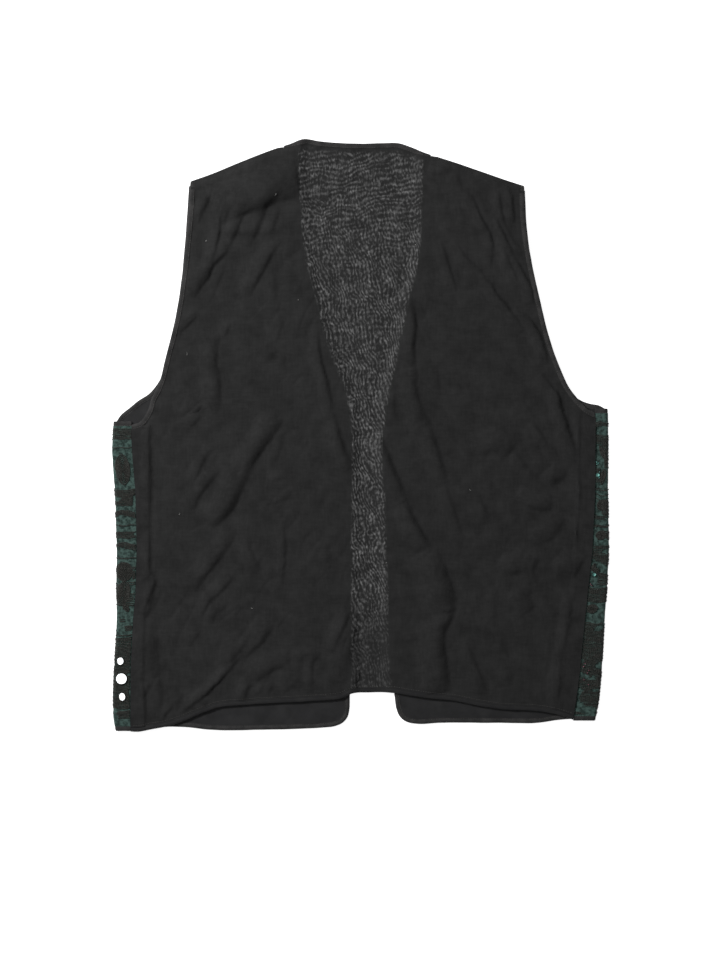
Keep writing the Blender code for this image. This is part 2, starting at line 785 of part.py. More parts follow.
def build_mirrors(materials):
    """The round mirrors, each lying on the slope of the left strip."""
    for k in range(len(MIRRORS["x"])):
        x, y, diameter = (MIRRORS[name][k] for name in ("x", "y", "diameter"))
        outer = wrap_section("left", y, VELVET)[0]
        crest, seam = outer[ROLL_STEPS], outer[-1]
        slope = (seam[2] - crest[2]) / (seam[0] - crest[0])
        angles = np.linspace(0.0, 2.0 * math.pi, MIRROR_SIDES, endpoint=False)
        across = diameter / 2.0 * np.cos(angles)
        along = diameter / 2.0 * np.sin(angles)
        seat = crest[2] + slope * (x + across - crest[0]) + SEAM_GAP
        ring = np.column_stack([x + across, y + along, seat])
        add_loft(f"mirror_{k + 1}", [ring, ring + np.array((0.0, 0.0, MIRROR_THICKNESS))],
                 materials["mirror"])


def main():
    """Clears the scene and builds the vest."""
    for obj in list(bpy.data.objects):
        bpy.data.objects.remove(obj, do_unlink=True)
    materials = {
        "voile": make_material("black_voile", (0.026, 0.026, 0.027), 0.85),
        "velvet": make_material("green_velvet", (0.022, 0.050, 0.043), 0.9),
        "lining": make_material("black_lining", (0.020, 0.021, 0.024), 0.7),
        "binding": make_material("black_binding", (0.018, 0.018, 0.020), 0.75),
        "mirror": make_material("mirror_glass", (0.75, 0.76, 0.78), 0.15, 1.0),
    }
    build_back(materials)
    for side in ("left", "right"):
        build_front(side, materials)
    build_mirrors(materials)


main()
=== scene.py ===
"""The looks of an embellished folk vest, which lies flat with its thin back up.

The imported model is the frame. Each piece here lies on its solid, and is finer: the back as two
layers of voile with their creases, the velvet fronts with their couched cords, the linings, the
bindings with their topstitch, and the sewn mirrors. Lengths are in millimetres up to Heap.piece(),
which makes the metres of the scene. X runs to the photograph's right and Y up it to the neck.
"""

import logging
import math
from collections.abc import Callable
from dataclasses import dataclass, field
from enum import Enum

import bmesh
import bpy
import numpy as np
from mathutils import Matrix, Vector, noise


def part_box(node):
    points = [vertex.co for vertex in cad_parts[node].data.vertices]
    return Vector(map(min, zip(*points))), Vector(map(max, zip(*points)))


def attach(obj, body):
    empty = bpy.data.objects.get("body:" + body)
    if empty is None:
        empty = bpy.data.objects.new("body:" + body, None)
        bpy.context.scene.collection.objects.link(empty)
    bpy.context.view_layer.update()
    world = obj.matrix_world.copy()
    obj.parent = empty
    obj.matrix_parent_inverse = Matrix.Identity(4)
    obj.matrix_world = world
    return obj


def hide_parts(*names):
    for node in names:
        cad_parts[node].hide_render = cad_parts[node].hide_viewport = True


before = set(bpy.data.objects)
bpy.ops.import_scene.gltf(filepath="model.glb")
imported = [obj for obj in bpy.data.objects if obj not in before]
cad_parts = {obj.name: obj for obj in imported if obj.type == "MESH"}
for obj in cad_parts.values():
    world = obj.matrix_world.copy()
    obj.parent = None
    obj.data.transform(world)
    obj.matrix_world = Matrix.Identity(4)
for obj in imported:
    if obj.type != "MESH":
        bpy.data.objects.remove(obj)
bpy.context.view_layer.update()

MM = 0.001
BODY = "root"
WAVE = 2.0 * math.pi / 20.0  # the scale at which a wave texture repeats once in a metre

log = logging.getLogger("vest")

Points = np.ndarray
Table = dict[str, np.ndarray]
Floor = Callable[[Points], Points]
Material = bpy.types.Material
Object = bpy.types.Object
Tree = bpy.types.NodeTree
Node = bpy.types.Node
Socket = bpy.types.NodeSocket


@dataclass(frozen=True)
class Seeds:
    """The depths at which the noise is cut, each of which gives a field unlike the others."""

    waves: float = 0.5
    cord_wobble: float = 1.5
    velvet_lumps: float = 2.5
    mirror_edges: float = 3.0
    puckers: float = 4.5
    tape_edges: float = 7.0  # past the tape's own
    lining_waves: float = 8.5
    cord_gaps: float = 9.5
    crumple: tuple[float, float] = (12.5, 17.5)  # left and right
    crumple_patches: float = 21.5
    crease_edges: float = 25.5


SEEDS = Seeds()
THREAD_SHARP = 80.0  # degrees: threads, beads and lint are shaded smooth but for their ends


class Side(Enum):
    """A side of the vest, as the photograph shows it."""

    LEFT = "left"
    RIGHT = "right"

    @property
    def sign(self) -> float:
        """The way along X from this side to the middle."""
        return 1.0 if self is Side.LEFT else -1.0


class Stitch(Enum):
    """How a couched cord is laid: its thickness, its lumps, and the length of each lump."""

    CORD = (0.55, 0.16, 2.2)
    KNOTS = (0.62, 0.34, 1.7)


def read_table(text: str) -> Table:
    """The columns of a table, by the names in its first line.

    Args:
        text: The table, with a line for each row.

    Returns:
        The values of each column.
    """
    lines = [line.split() for line in text.strip().splitlines()]
    values = np.array(lines[1:], float)
    return {name: values[:, k] for k, name in enumerate(lines[0])}


# Sections across the sides: where the fronts fold over, and the side seams of the back
SIDES = read_table("""
       y  fold_left  seam_left  seam_right  fold_right
    -326     -270.0     -253.4       231.6       255.6
    -310     -272.4     -253.6       233.8       258.4
    -290     -272.8     -253.6       236.8       261.8
    -259     -271.7     -253.4       240.9       264.8
    -202     -268.6     -250.6       246.4       268.0
    -170     -269.4     -247.8       249.8       270.6
    -126     -268.6     -246.8       254.6       272.8
     -63     -270.8     -247.8       257.0       271.8
     -17     -273.8     -251.2       257.0       271.8
      14     -272.4     -252.5       257.0       271.8
      30     -271.6     -252.5       257.0       271.4
""")

# Sections down the fronts' opening edges, which meet in a V at the chest
OPENING = read_table("""
       y   left  right
     300  -70.3   69.3
     259  -68.2   68.8
     204  -63.8   66.0
     177  -58.3   61.7
     149  -50.6   54.0
     118  -43.5   47.9
      95  -36.3   43.2
      75  -29.0   39.2
      48  -17.8   33.2
      30  -14.6   29.4
      12  -12.3   27.2
      -6  -12.0   24.8
     -71  -11.6   27.5
    -137  -12.3   29.7
    -181  -12.7   31.6
    -236  -12.3   32.0
    -284  -12.2   36.3
""")

# A front's lower edge: round the corner from the opening and along the hem to the side fold
CORNERS = {
    Side.LEFT: read_table("""
         x       y
     -12.4  -300.0
     -14.6  -309.5
     -20.0  -316.2
     -29.0  -320.2
     -39.6  -321.4
     -67.0  -322.9
    -111.0  -324.0
    -166.0  -324.0
    -192.0  -321.2
    -216.0  -320.9
    -230.0  -322.9
    -252.0  -325.4
    -267.0  -325.0
    """),
    Side.RIGHT: read_table("""
        x       y
     38.4  -299.0
     41.4  -307.6
     46.4  -313.2
     53.0  -316.2
     61.0  -317.4
     87.0  -316.4
    153.0  -316.4
    197.0  -316.2
    219.0  -313.0
    236.0  -312.0
    253.5  -313.6
    """),
}

# The shoulder and neck edge of the back, from tip to tip, and its hem from seam to seam
TOP = read_table("""
         x      y
    -188.0  279.6
    -165.0  287.7
    -133.0  300.9
     -99.0  314.1
     -79.0  320.9
     -62.0  326.4
     -45.0  324.0
     -23.0  322.2
       0.0  321.4
      24.0  322.0
      43.0  321.6
      54.0  317.9
      69.0  311.9
     109.0  298.7
     131.0  291.0
     153.0  283.3
     180.5  274.3
""")
HEM = read_table("""
         x       y
    -253.6  -325.6
    -245.0  -325.8
    -229.0  -322.9
    -211.0  -319.6
    -195.0  -314.1
    -172.0  -304.7
    -158.0  -299.8
    -125.0  -296.5
     -56.0  -292.6
     -33.0  -291.0
     -19.0  -288.8
     -12.2  -284.8
      10.0  -282.8
      36.3  -283.3
      53.0  -286.1
      80.0  -289.9
     103.0  -292.1
     126.0  -297.0
     150.0  -300.9
     196.0  -303.6
     215.0  -306.9
     232.8  -312.6
""")

# Armholes from the underarm to the shoulder tip, on the back and on the fronts below it
BACK_ARMHOLES = {
    Side.LEFT: read_table("""
         x      y
    -252.5   11.6
    -243.9   14.5
    -237.6   21.6
    -233.6   29.5
    -231.0   39.6
    -225.5   50.1
    -221.1   61.1
    -215.6   83.1
    -204.6  127.1
    -194.7  193.1
    -190.3  237.1
    -187.6  279.6
    """),
    Side.RIGHT: read_table("""
        x      y
    257.0   25.4
    250.3   28.6
    244.6   33.6
    237.6   41.3
    229.9   51.2
    218.9   74.3
    207.9  105.1
    196.9  149.1
    185.9  200.8
    181.0  237.1
    179.6  274.6
    """),
}
FRONT_ARMHOLES = {
    Side.LEFT: read_table("""
         x      y
    -269.4   15.5
    -263.6   23.4
    -256.3   29.2
    -244.2   39.1
    -234.3   45.1
    -226.6   53.4
    -221.0   62.0
    -214.6   83.1
    -203.6  127.1
    -195.4  193.1
    -191.9  237.1
    -189.6  274.2
    """),
    Side.RIGHT: read_table("""
        x      y
    268.4   29.6
    261.5   33.4
    254.0   34.6
    244.6   37.4
    236.2   42.3
    228.9   51.2
    217.9   74.3
    206.9  105.1
    195.9  149.1
    185.9  200.8
    182.0  237.1
    180.6  269.4
    """),
}

# The creases of the back. Each runs through four points, and falls over a band, ever more steeply
# to its foot at the left; on its right it sinks back slowly. Height is its drop halfway along.
CREASES = read_table("""
    x1   y1   x2    y2   x3   y3   x4   y4 height band
   -66  270  -93   265 -126  252 -160  240   10.5 18.0
   -87  272 -103   256 -113  232 -125  207    2.8  7.0
  -119  252 -131   240 -138  224 -145  207    2.7  5.0
  -145  207 -153   197 -163  188 -170  168    3.1  5.0
  -156  244 -157   218 -161  203 -165  189    2.2  4.0
  -166  184 -174   172 -182  161 -188  151    4.0 10.0
  -166  268 -169   258 -174  247 -180  233    2.2  4.0
   -85  223 -109 223.5 -133  223 -172  223    2.0  7.0
   -90  248  -94   238  -98  227 -102  216    1.4  5.0
   -88  215 -100   197 -114  172 -127  150    2.8  6.0
   -98  186  -95   170  -95  158  -96  146    1.1  5.0
  -148  191 -156   171 -162  158 -167  146    0.8  4.0
  -178  135 -188   125 -195  118 -202  111    2.0  4.0
  -143  123 -146   118 -148  114 -151  107    1.0  3.0
  -158  112 -162    85 -157   54 -161   24    3.2  8.0
   -82  131  -88   120  -91  112  -94  101    0.8  4.0
   -91   98  -96    92 -100   86 -105   81    0.9  6.0
   -48  118  -45    87  -37   57  -30   21    2.6  4.0
   -31   26  -25     4  -19  -16   -9  -36    2.9  5.0
   100  292   91   289   82  289   73  292    1.8  7.0
   105  291  108   276  119  265  127  250    1.9  6.0
   124  255  132   239  141  224  146  203    2.4  3.5
   153  273  144   276  134  280  124  285    1.6  5.0
   153  272  153   255  157  235  165  219    1.5  3.5
   163  222  168   213  173  207  178  201    1.2  3.5
   160  276  165   265  167  251  168  232    1.9  3.5
   144  244  153   228  161  211  170  193    2.8  4.0
   168  196  177   181  186  163  190  145    2.8  4.0
   156  207  162   192  168  179  176  164    2.0  4.0
   144  206  144   199  143  192  143  184    1.0  4.0
   102  215  116   195  128  184  140  170    1.6  4.0
   138  173  151   153  162  140  180  115    2.4  3.5
   167  140  184   129  196  111  206   79    2.6  4.0
    88  215   94   195   99  178  105  160    1.8  4.0
   129  170  120   166  114  164  107  167    1.1  8.0
   138  224  122   223  107  224   89  229    1.3  5.0
   107  257  109   250  112  244  116  235    0.8  3.0
    54  153   59   122   57   92   59   65    2.8  6.0
    58   74   58    54   64   30   74   12    3.2  8.0
    72   16   80    -5   87  -29   94  -53    2.8  7.0
    92  -49   98   -71  105  -92  113 -119    1.4  6.0
   198   69  208    56  216   45  220   30    2.0  4.0
   215   52  221    27  230   -1  238  -29    3.2  5.0
   237  -25  239   -45  241  -60  240  -76    1.4  3.5
   241   29  241    13  239   -9  239  -34    1.3  3.0
    16   10   26   -17   38  -45   50  -73    4.2  7.0
    48  -69   56   -91   65 -108   78 -127    4.2  7.0
    76 -124   87  -146   95 -170   99 -194    6.4 14.0
   100 -188   98  -199   94 -207   87 -218    3.2  8.0
    87 -205   87  -227   89 -249   95 -282    5.8 12.0
    35   48   36    35   37   24   38   12    1.7  6.0
    50   -1   42     2   34    2   25    3    1.0  3.0
   116  -47  124   -58  132  -73  141  -97    1.3  6.0
   161  -23  152   -16  142  -14  131  -23    2.7 10.0
   142  -42  143   -49  142  -56  139  -60    0.7  5.0
   167  -19  173   -24  177  -28  184  -34    1.4  3.0
   187   15  194     7  199   -1  205  -10    1.8  4.0
   183    9  185     2  189   -5  198  -10    1.0  3.0
   222  -36  217   -45  209  -48  202  -40    3.2 14.0
   210  -80  197   -80  183  -75  169  -67    3.2  8.0
   220  -87  215  -104  204 -113  185 -116    2.6  9.0
   172  -89  168   -94  166  -98  164 -103    0.9  5.0
   158 -122  151  -118  143 -115  134 -113    1.1  6.0
   173 -122  178  -126  183 -129  189 -135    1.5  3.0
   183 -144  174  -148  162 -149  150 -140    2.8  9.0
   198 -133  191  -140  189 -148  193 -162    1.9  6.0
   235 -156  228  -152  220 -149  210 -140    2.9 14.0
   237  -83  237   -95  237 -107  235 -122    1.2  3.0
   234 -122  234  -139  233 -157  233 -174    0.7  3.0
   233 -170  231  -192  227 -216  222 -249    2.6  4.0
   222 -245  220  -263  218 -282  219 -302    2.9  5.0
   166 -168  174  -172  182 -179  190 -190    2.4  9.0
   148 -168  147  -183  147 -195  145 -211    0.8  4.0
   114 -223  121  -241  129 -259  138 -284    2.0  5.0
   162 -234  156  -237  151 -237  144 -234    0.9  6.0
   168 -265  162  -267  155 -265  148 -261    1.1  6.0
   164 -276  157  -274  151 -274  144 -278    0.9  5.0
    64 -224   57  -225   50 -226   41 -227    0.8  3.0
    52 -207   47  -205   43 -203   37 -200    0.7  4.0
    69 -269   72  -274   74 -280   75 -285    0.8  4.0
   141 -218  135  -218  129 -216  121 -214    0.9  7.0
   -98 -207 -107  -222 -118 -234 -133 -245    2.8  7.0
  -130 -240 -148  -261 -168 -282 -198 -306    2.4  3.5
  -125 -223 -133  -233 -144 -246 -157 -255    2.7  7.0
  -227 -201 -230  -223 -229 -243 -224 -265    3.1 13.0
  -226 -260 -221  -278 -220 -294 -228 -314    2.1  6.0
  -230 -267 -237  -282 -237 -300 -232 -315    1.4  4.0
  -208 -296 -211  -302 -215 -307 -217 -314    1.9  3.0
  -223 -156 -229  -172 -232 -186 -237 -203    1.4  4.0
   -78 -254  -95  -255 -109 -263 -119 -273    3.2  8.0
  -118 -272 -125  -278 -127 -284 -129 -293    2.4  5.0
   -53 -239  -64  -244  -68 -256  -65 -278    1.4  5.0
   -44 -238  -53  -249  -54 -267  -54 -283    1.6  5.0
   -12 -192  -19  -210  -26 -224  -32 -239    2.9  5.0
   -14 -212  -18  -223  -21 -230  -23 -240    1.7  6.0
    -4 -201  -11  -225  -14 -249  -16 -273    4.0 10.0
    -4 -240   -3  -254   -4 -267   -6 -280    2.3  4.0
  -107 -273 -109  -278 -111 -281 -112 -285    1.0  3.0
   -96 -272  -98  -277 -100 -281 -102 -285    1.0  3.0
   -73 -272  -77  -276  -81 -279  -86 -283    1.1  4.0
  -141 -153 -151  -168 -166 -182 -178 -202    2.1  5.0
  -144 -183 -154  -190 -162 -199 -166 -207    1.4  6.0
  -131 -184 -133  -190 -136 -194 -140 -199    0.8  4.0
  -176 -212 -179  -218 -184 -225 -189 -232    0.8  4.0
  -170 -290 -170  -293 -172 -298 -173 -302    0.8  3.0
   -88   19 -102    -2 -119  -26 -130  -49    4.6  9.0
  -127  -42 -135   -60 -144  -79 -168 -101    5.0 10.0
  -164  -15 -172   -26 -179  -41 -189  -58    1.5  3.5
  -156  -37 -164   -48 -176  -62 -185  -82    2.6  6.0
  -176   34 -178    30 -180   28 -183   25    1.2  4.0
  -178   23 -180    18 -183   15 -185    9    1.4  4.0
  -139 -103 -147  -120 -163 -142 -187 -173    2.8  7.0
  -127 -114 -122  -125 -118 -136 -111 -148    2.0  5.0
   -86  -92  -84  -115  -84 -139  -88 -168    1.4  3.0
   -76  -65  -85   -70  -94  -73 -102  -75    0.8  3.0
   -78  -43  -86   -47  -94  -50 -102  -54    0.8  3.0
   -85    5  -88    -8  -92  -20 -100  -37    0.9  5.0
  -232   13 -232   -18 -231  -53 -232  -89    1.6  4.0
  -232 -106 -232  -124 -232 -141 -233 -161    1.3  3.0
   -36 -126  -36  -131  -36 -136  -36 -140    0.7  3.0
  -233   -9 -239   -10 -244  -10 -250  -12    0.5  3.0
  -233  -57 -239   -57 -244  -58 -250  -58    0.5  3.0
  -232 -100 -238  -101 -243 -101 -248 -102    0.5  3.0
  -234 -140 -239  -140 -243 -141 -248 -141    0.3  3.0
  -235 -183 -240  -183 -244 -184 -249 -184    0.3  3.0
  -239 -230 -242  -230 -245 -232 -250 -232    0.2  3.0
   256   13  252    13  248   13  243   13    0.5  3.0
   256   -9  252    -9  248   -9  243   -9    0.4  3.0
   256  -56  252   -56  248  -56  243  -56    0.4  3.0
   256  -73  252   -73  248  -73  243  -73    0.3  3.0
   255 -100  251  -100  246 -100  242 -100    0.4  3.0
   254 -140  250  -140  245 -140  241 -140    0.4  3.0
   250 -188  245  -188  241 -188  237 -188    0.2  3.0
   245 -236  241  -236  237 -236  232 -236    0.2  3.0
""")

# Seams pressed flat under the back show as raised bands: the side seams' inner edges
ALLOWANCE = read_table("""
       y    left  right
    -318  -236.0  214.0
    -298  -236.6  216.7
    -282  -237.4  218.9
    -271  -238.7  218.9
    -225  -237.6  225.5
    -190  -236.5  231.6
    -160  -224.7  231.6
    -145  -231.7  232.8
     -97  -231.7  235.1
     -40  -231.7  237.4
       0  -231.7  236.0
      30  -230.0  238.0
""")

# Black couched work on the fronts' side strips: rows of cord from one level down to another, and
# how far across from the seam they start and end. The bow is how far their middle is pulled down.
# Rows are laid where a noise from -1 to 1 is under the last value, so that 1 leaves no gaps.
ROWS = {
    Side.LEFT: read_table("""
       top  bottom  from    to   bow  pitch  laid
       8.0    -4.6   0.4  30.0   0.0    1.5   0.3
     -12.8   -13.6   0.4  30.0   0.4    1.4   1.0
     -16.0   -56.0   0.4   2.0   0.0    1.5   0.1
     -57.5   -66.0   0.4  30.0   2.4    1.5   0.5
     -66.8   -76.6   3.0  30.0   1.0    1.5   0.3
     -84.0   -91.0   0.4  30.0  -2.0    1.4   0.5
     -97.0   -98.4   0.4  30.0   1.6    1.4   1.0
    -105.0  -112.0   0.4  30.0   1.2    1.4   0.4
    -119.4  -126.6   0.4  30.0  -1.6    1.4   0.4
    -133.0  -134.4   0.4  30.0   1.4    1.4   1.0
    -140.0  -158.0   0.4   4.4   0.0    1.5   0.2
    -160.0  -206.0   0.4  30.0   1.0    1.9  -0.2
    -208.5  -214.4   0.4  30.0   1.0    1.5   0.3
    -219.0  -220.0   0.4  30.0   0.4    1.4   1.0
    -221.4  -240.0   0.4  30.0   0.8    1.5   0.5
    -240.0  -300.0   0.4  30.0   0.8    1.5   0.6
    -300.0  -311.0   0.4  30.0   0.8    1.5   0.3
    """),
    Side.RIGHT: read_table("""
       top  bottom  from    to   bow  pitch  laid
      14.6     8.6   0.4  30.0  -1.8    1.5   0.3
       1.4    -8.6   0.4  30.0   1.2    1.4   0.6
      -8.6   -20.0   7.0  30.0   0.0    1.4   0.5
     -20.0   -36.0  10.0  30.0   0.0    1.5   0.3
     -36.0   -52.0   0.4   6.5   0.0    1.5   0.3
     -52.0   -60.0   0.4  30.0   1.0    1.5   0.3
     -63.0   -64.6   0.4  30.0   2.4    1.4   0.5
     -68.0   -69.4   0.4  30.0   2.4    1.4   0.5
     -71.4   -86.6   8.0  30.0   1.0    1.4   0.3
     -86.6   -92.0   0.4  30.0   1.4    1.8   0.5
     -97.4   -99.8   0.4  30.0   1.4    1.4   1.0
    -106.0  -115.4   4.6  30.0  -1.6    1.5   0.3
    -120.4  -138.0   0.4  30.0   1.0    1.5   0.3
    -138.0  -150.0   0.4   3.0   0.0    1.5   0.3
    -138.0  -164.0   9.0  30.0   0.0    1.5   0.0
    -166.0  -183.0   0.4  30.0   1.4    1.4   0.4
    -187.0  -195.4   0.4  10.0  -1.0    1.4   0.4
    -205.0  -250.0   0.4  30.0   1.2    1.4   0.5
    -250.0  -292.0   0.4  30.0   1.2    1.4   0.4
    -292.0  -306.0   0.4  30.0   1.2    1.5   0.1
    """),
}

# Black ovals and leaves of spiral cord: centre, half length and half width, and how far it leans.
# A leaf has pointed ends, and its sharpness goes from 0, an oval, to 1.
ROUNDS = {
    Side.LEFT: read_table("""
       y  across  half_length  half_width  lean  sharp
     -38    12.2         17.4         8.2     0    0.1
    -150    13.0         10.6         9.6     0    0.0
    -174    13.4         14.0         8.0    -8    0.3
    -190     8.4          6.0         3.0    30    0.8
    """),
    Side.RIGHT: read_table("""
       y  across  half_length  half_width  lean  sharp
     -20     9.0         10.5         2.6   -24    0.9
     -46     8.8         10.0         2.6    10    0.6
     -77     9.0          6.4         6.4     0    0.0
    -110     8.4          5.2         5.8     0    0.2
    -148     3.6          8.0         2.2     0    0.4
    -150     7.8          4.6         2.0   -10    0.8
    -191     6.6          5.0         6.0     0    0.1
    """),
}

# Sequins and small beads on the right strip: level, distance from the seam, and diameter
SEQUINS = read_table("""
         y  across  diameter
     -43.5     3.0       4.2
    -152.8     4.4       4.0
""")
BEADS = read_table("""
         y  across  diameter
     -29.2     1.8       1.5
     -30.6     3.6       1.3
     -31.6     2.2       1.2
     -40.2     4.9       1.1
     -46.6     4.6       1.2
    -150.2     2.0       1.1
    -163.4     1.6       1.3
    -164.8     3.0       1.1
    -261.0     8.0       1.4
    -258.4     9.4       1.2
    -251.0     4.6       1.3
    -254.2     3.2       1.5
    -268.6     5.2       1.3
    -274.0    11.0       1.2
""")

# Lint and loose threads on the back: place, length and the way it lies in degrees
LINT = read_table("""
         x       y  length  lies
     -93.5   264.5     2.2    70
    -170.5   214.0     2.0    20
    -191.4    89.6     3.2    95
    -199.7   -86.4     2.0    40
     -69.0   149.0     1.8    60
      28.0  -140.0     1.6    10
     120.0   -60.0     2.6   130
    -120.0  -190.0     2.4   160
      60.0   210.0     2.0    35
     -18.0  -285.5     2.0    15
""")

NECK_ENDS = (-74.0, 66.0)  # where the shoulder edges meet the neck edge
CURVE_STEPS = 10
FINE_STEPS = 240


def curve(points: Points) -> Points:
    """A smooth line through points, with CURVE_STEPS steps from each to the next.

    Args:
        points: The points of the line.

    Returns:
        The finer points.
    """
    points = np.asarray(points, float)
    spans = np.linalg.norm(np.diff(points, axis=0), axis=1)[:, None]
    slopes = np.diff(points, axis=0) / spans
    inner = (slopes[1:] * spans[:-1] + slopes[:-1] * spans[1:]) / (spans[1:] + spans[:-1])
    tangents = np.vstack([slopes[:1], inner, slopes[-1:]])
    line = []
    for k, span in enumerate(spans):
        for t in np.linspace(0.0, 1.0, CURVE_STEPS, endpoint=False):
            line.append(
                (2 * t**3 - 3 * t**2 + 1) * points[k]
                + (t**3 - 2 * t**2 + t) * span * tangents[k]
                + (3 * t**2 - 2 * t**3) * points[k + 1]
                + (t**3 - t**2) * span * tangents[k + 1]
            )
    return np.array(line + [points[-1]])


def table_curve(table: Table) -> Points:
    """The smooth line through a table's x and y columns."""
    return curve(np.column_stack([table["x"], table["y"]]))


def run_along(line: Points) -> Points:
    """The distance of each point of a line from its start."""
    return np.concatenate([[0.0], np.cumsum(np.linalg.norm(np.diff(line, axis=0), axis=1))])


def at_distances(line: Points, distances: Points) -> Points:
    """The points of a line at these distances from its start."""
    run = run_along(line)
    return np.column_stack([np.interp(distances, run, line[:, k]) for k in range(line.shape[1])])


def spaced(line: Points, count: int) -> Points:
    """Points evenly along a line, one more than count."""
    return at_distances(line, np.linspace(0.0, run_along(line)[-1], count + 1))


def stepped(line: Points, step: float) -> Points:
    """Points evenly along a line, about a step apart."""
    return spaced(line, max(1, round(run_along(line)[-1] / step)))


def cut_line(line: Points, low: float, high: float, axis: int = 0) -> Points:
    """The stretch of a line between two values of one coordinate.

    Args:
        line: The points of the line.
        low: The lowest value of the coordinate.
        high: The highest value of the coordinate.
        axis: Which coordinate, 0 for X or 1 for Y.

    Returns:
        The stretch, in the line's own order, with its two ends added.
    """
    at = line[:, axis]
    order = np.argsort(at)
    ends = [np.interp([v], at[order], line[order, 1 - axis])[0] for v in (low, high)]
    keep = line[(at > low) & (at < high)]
    first, last = np.zeros(2), np.zeros(2)
    first[axis], first[1 - axis] = low, ends[0]
    last[axis], last[1 - axis] = high, ends[1]
    if at[0] > at[-1]:
        return np.vstack([last, keep, first])
    return np.vstack([first, keep, last])


def inward(
    points: Points, side: float, start: Points | None = None, end: Points | None = None
) -> Points:
    """Unit normals of a line.

    Args:
        points: The points of the line.
        side: 1 for the left of the way it runs, or -1 for the right.
        start: The first normal, where it isn't the line's own.
        end: The last normal, where it isn't the line's own.

    Returns:
        One normal for each point.
    """
    along = np.gradient(points, axis=0)
    along /= np.linalg.norm(along, axis=1)[:, None]
    normals = side * np.column_stack([-along[:, 1], along[:, 0]])
    if start is not None:
        normals[0] = start
    if end is not None:
        normals[-1] = end
    return normals


def circle(count: int) -> Points:
    """Points round a circle of radius 1."""
    angles = np.linspace(0.0, 2.0 * math.pi, count, endpoint=False)
    return np.column_stack([np.cos(angles), np.sin(angles)])


def smooth_step(share: Points) -> Points:
    """0 to 1 with level ends."""
    share = np.clip(share, 0.0, 1.0)
    return share * share * (3.0 - 2.0 * share)


def distance_to(line: Points, points: Points) -> Points:
    """From each point to the nearest point of a line."""
    fine = spaced(line, FINE_STEPS)
    nearest = np.full(len(points), np.inf)
    for station in fine:
        nearest = np.minimum(nearest, np.hypot(*(points - station).T))
    return nearest


def ripple(points: Points, length: float, seed: float) -> Points:
    """Smooth noise from about -1 to 1.

    Args:
        points: Places, with two or three coordinates.
        length: The distance over which the noise changes.
        seed: The depth at which the noise is cut, which makes one field unlike another.

    Returns:
        One value for each place.
    """
    places = np.column_stack([points[:, :2] / length, np.full(len(points), seed)])
    return np.array([noise.noise(Vector(place)) for place in places])


def patch(left: Points, right: Points, bottom: Points, top: Points, shares: Points) -> Points:
    """Points across a patch between four lines.

    Args:
        left: The left line, from the bottom up.
        right: The right line, from the bottom up.
        bottom: The bottom line, from the left.
        top: The top line, from the left.
        shares: The share of the way across at each column.

    Returns:
        Rows of points in the plane.
    """
    rise = run_along((left + right) / 2.0)
    rise /= rise[-1]
    plain = left[:, None] + shares[None, :, None] * (right - left)[:, None]
    lower = (1.0 - rise)[:, None, None] * (bottom - plain[0])[None]
    upper = rise[:, None, None] * (top - plain[-1])[None]
    return plain + lower + upper


def grid_quads(rows: int, columns: int) -> np.ndarray:
    """The quads of a grid whose points are numbered along each row."""
    corner = (np.arange(rows - 1)[:, None] * columns + np.arange(columns - 1)[None]).ravel()
    return np.column_stack([corner, corner + 1, corner + columns + 1, corner + columns])


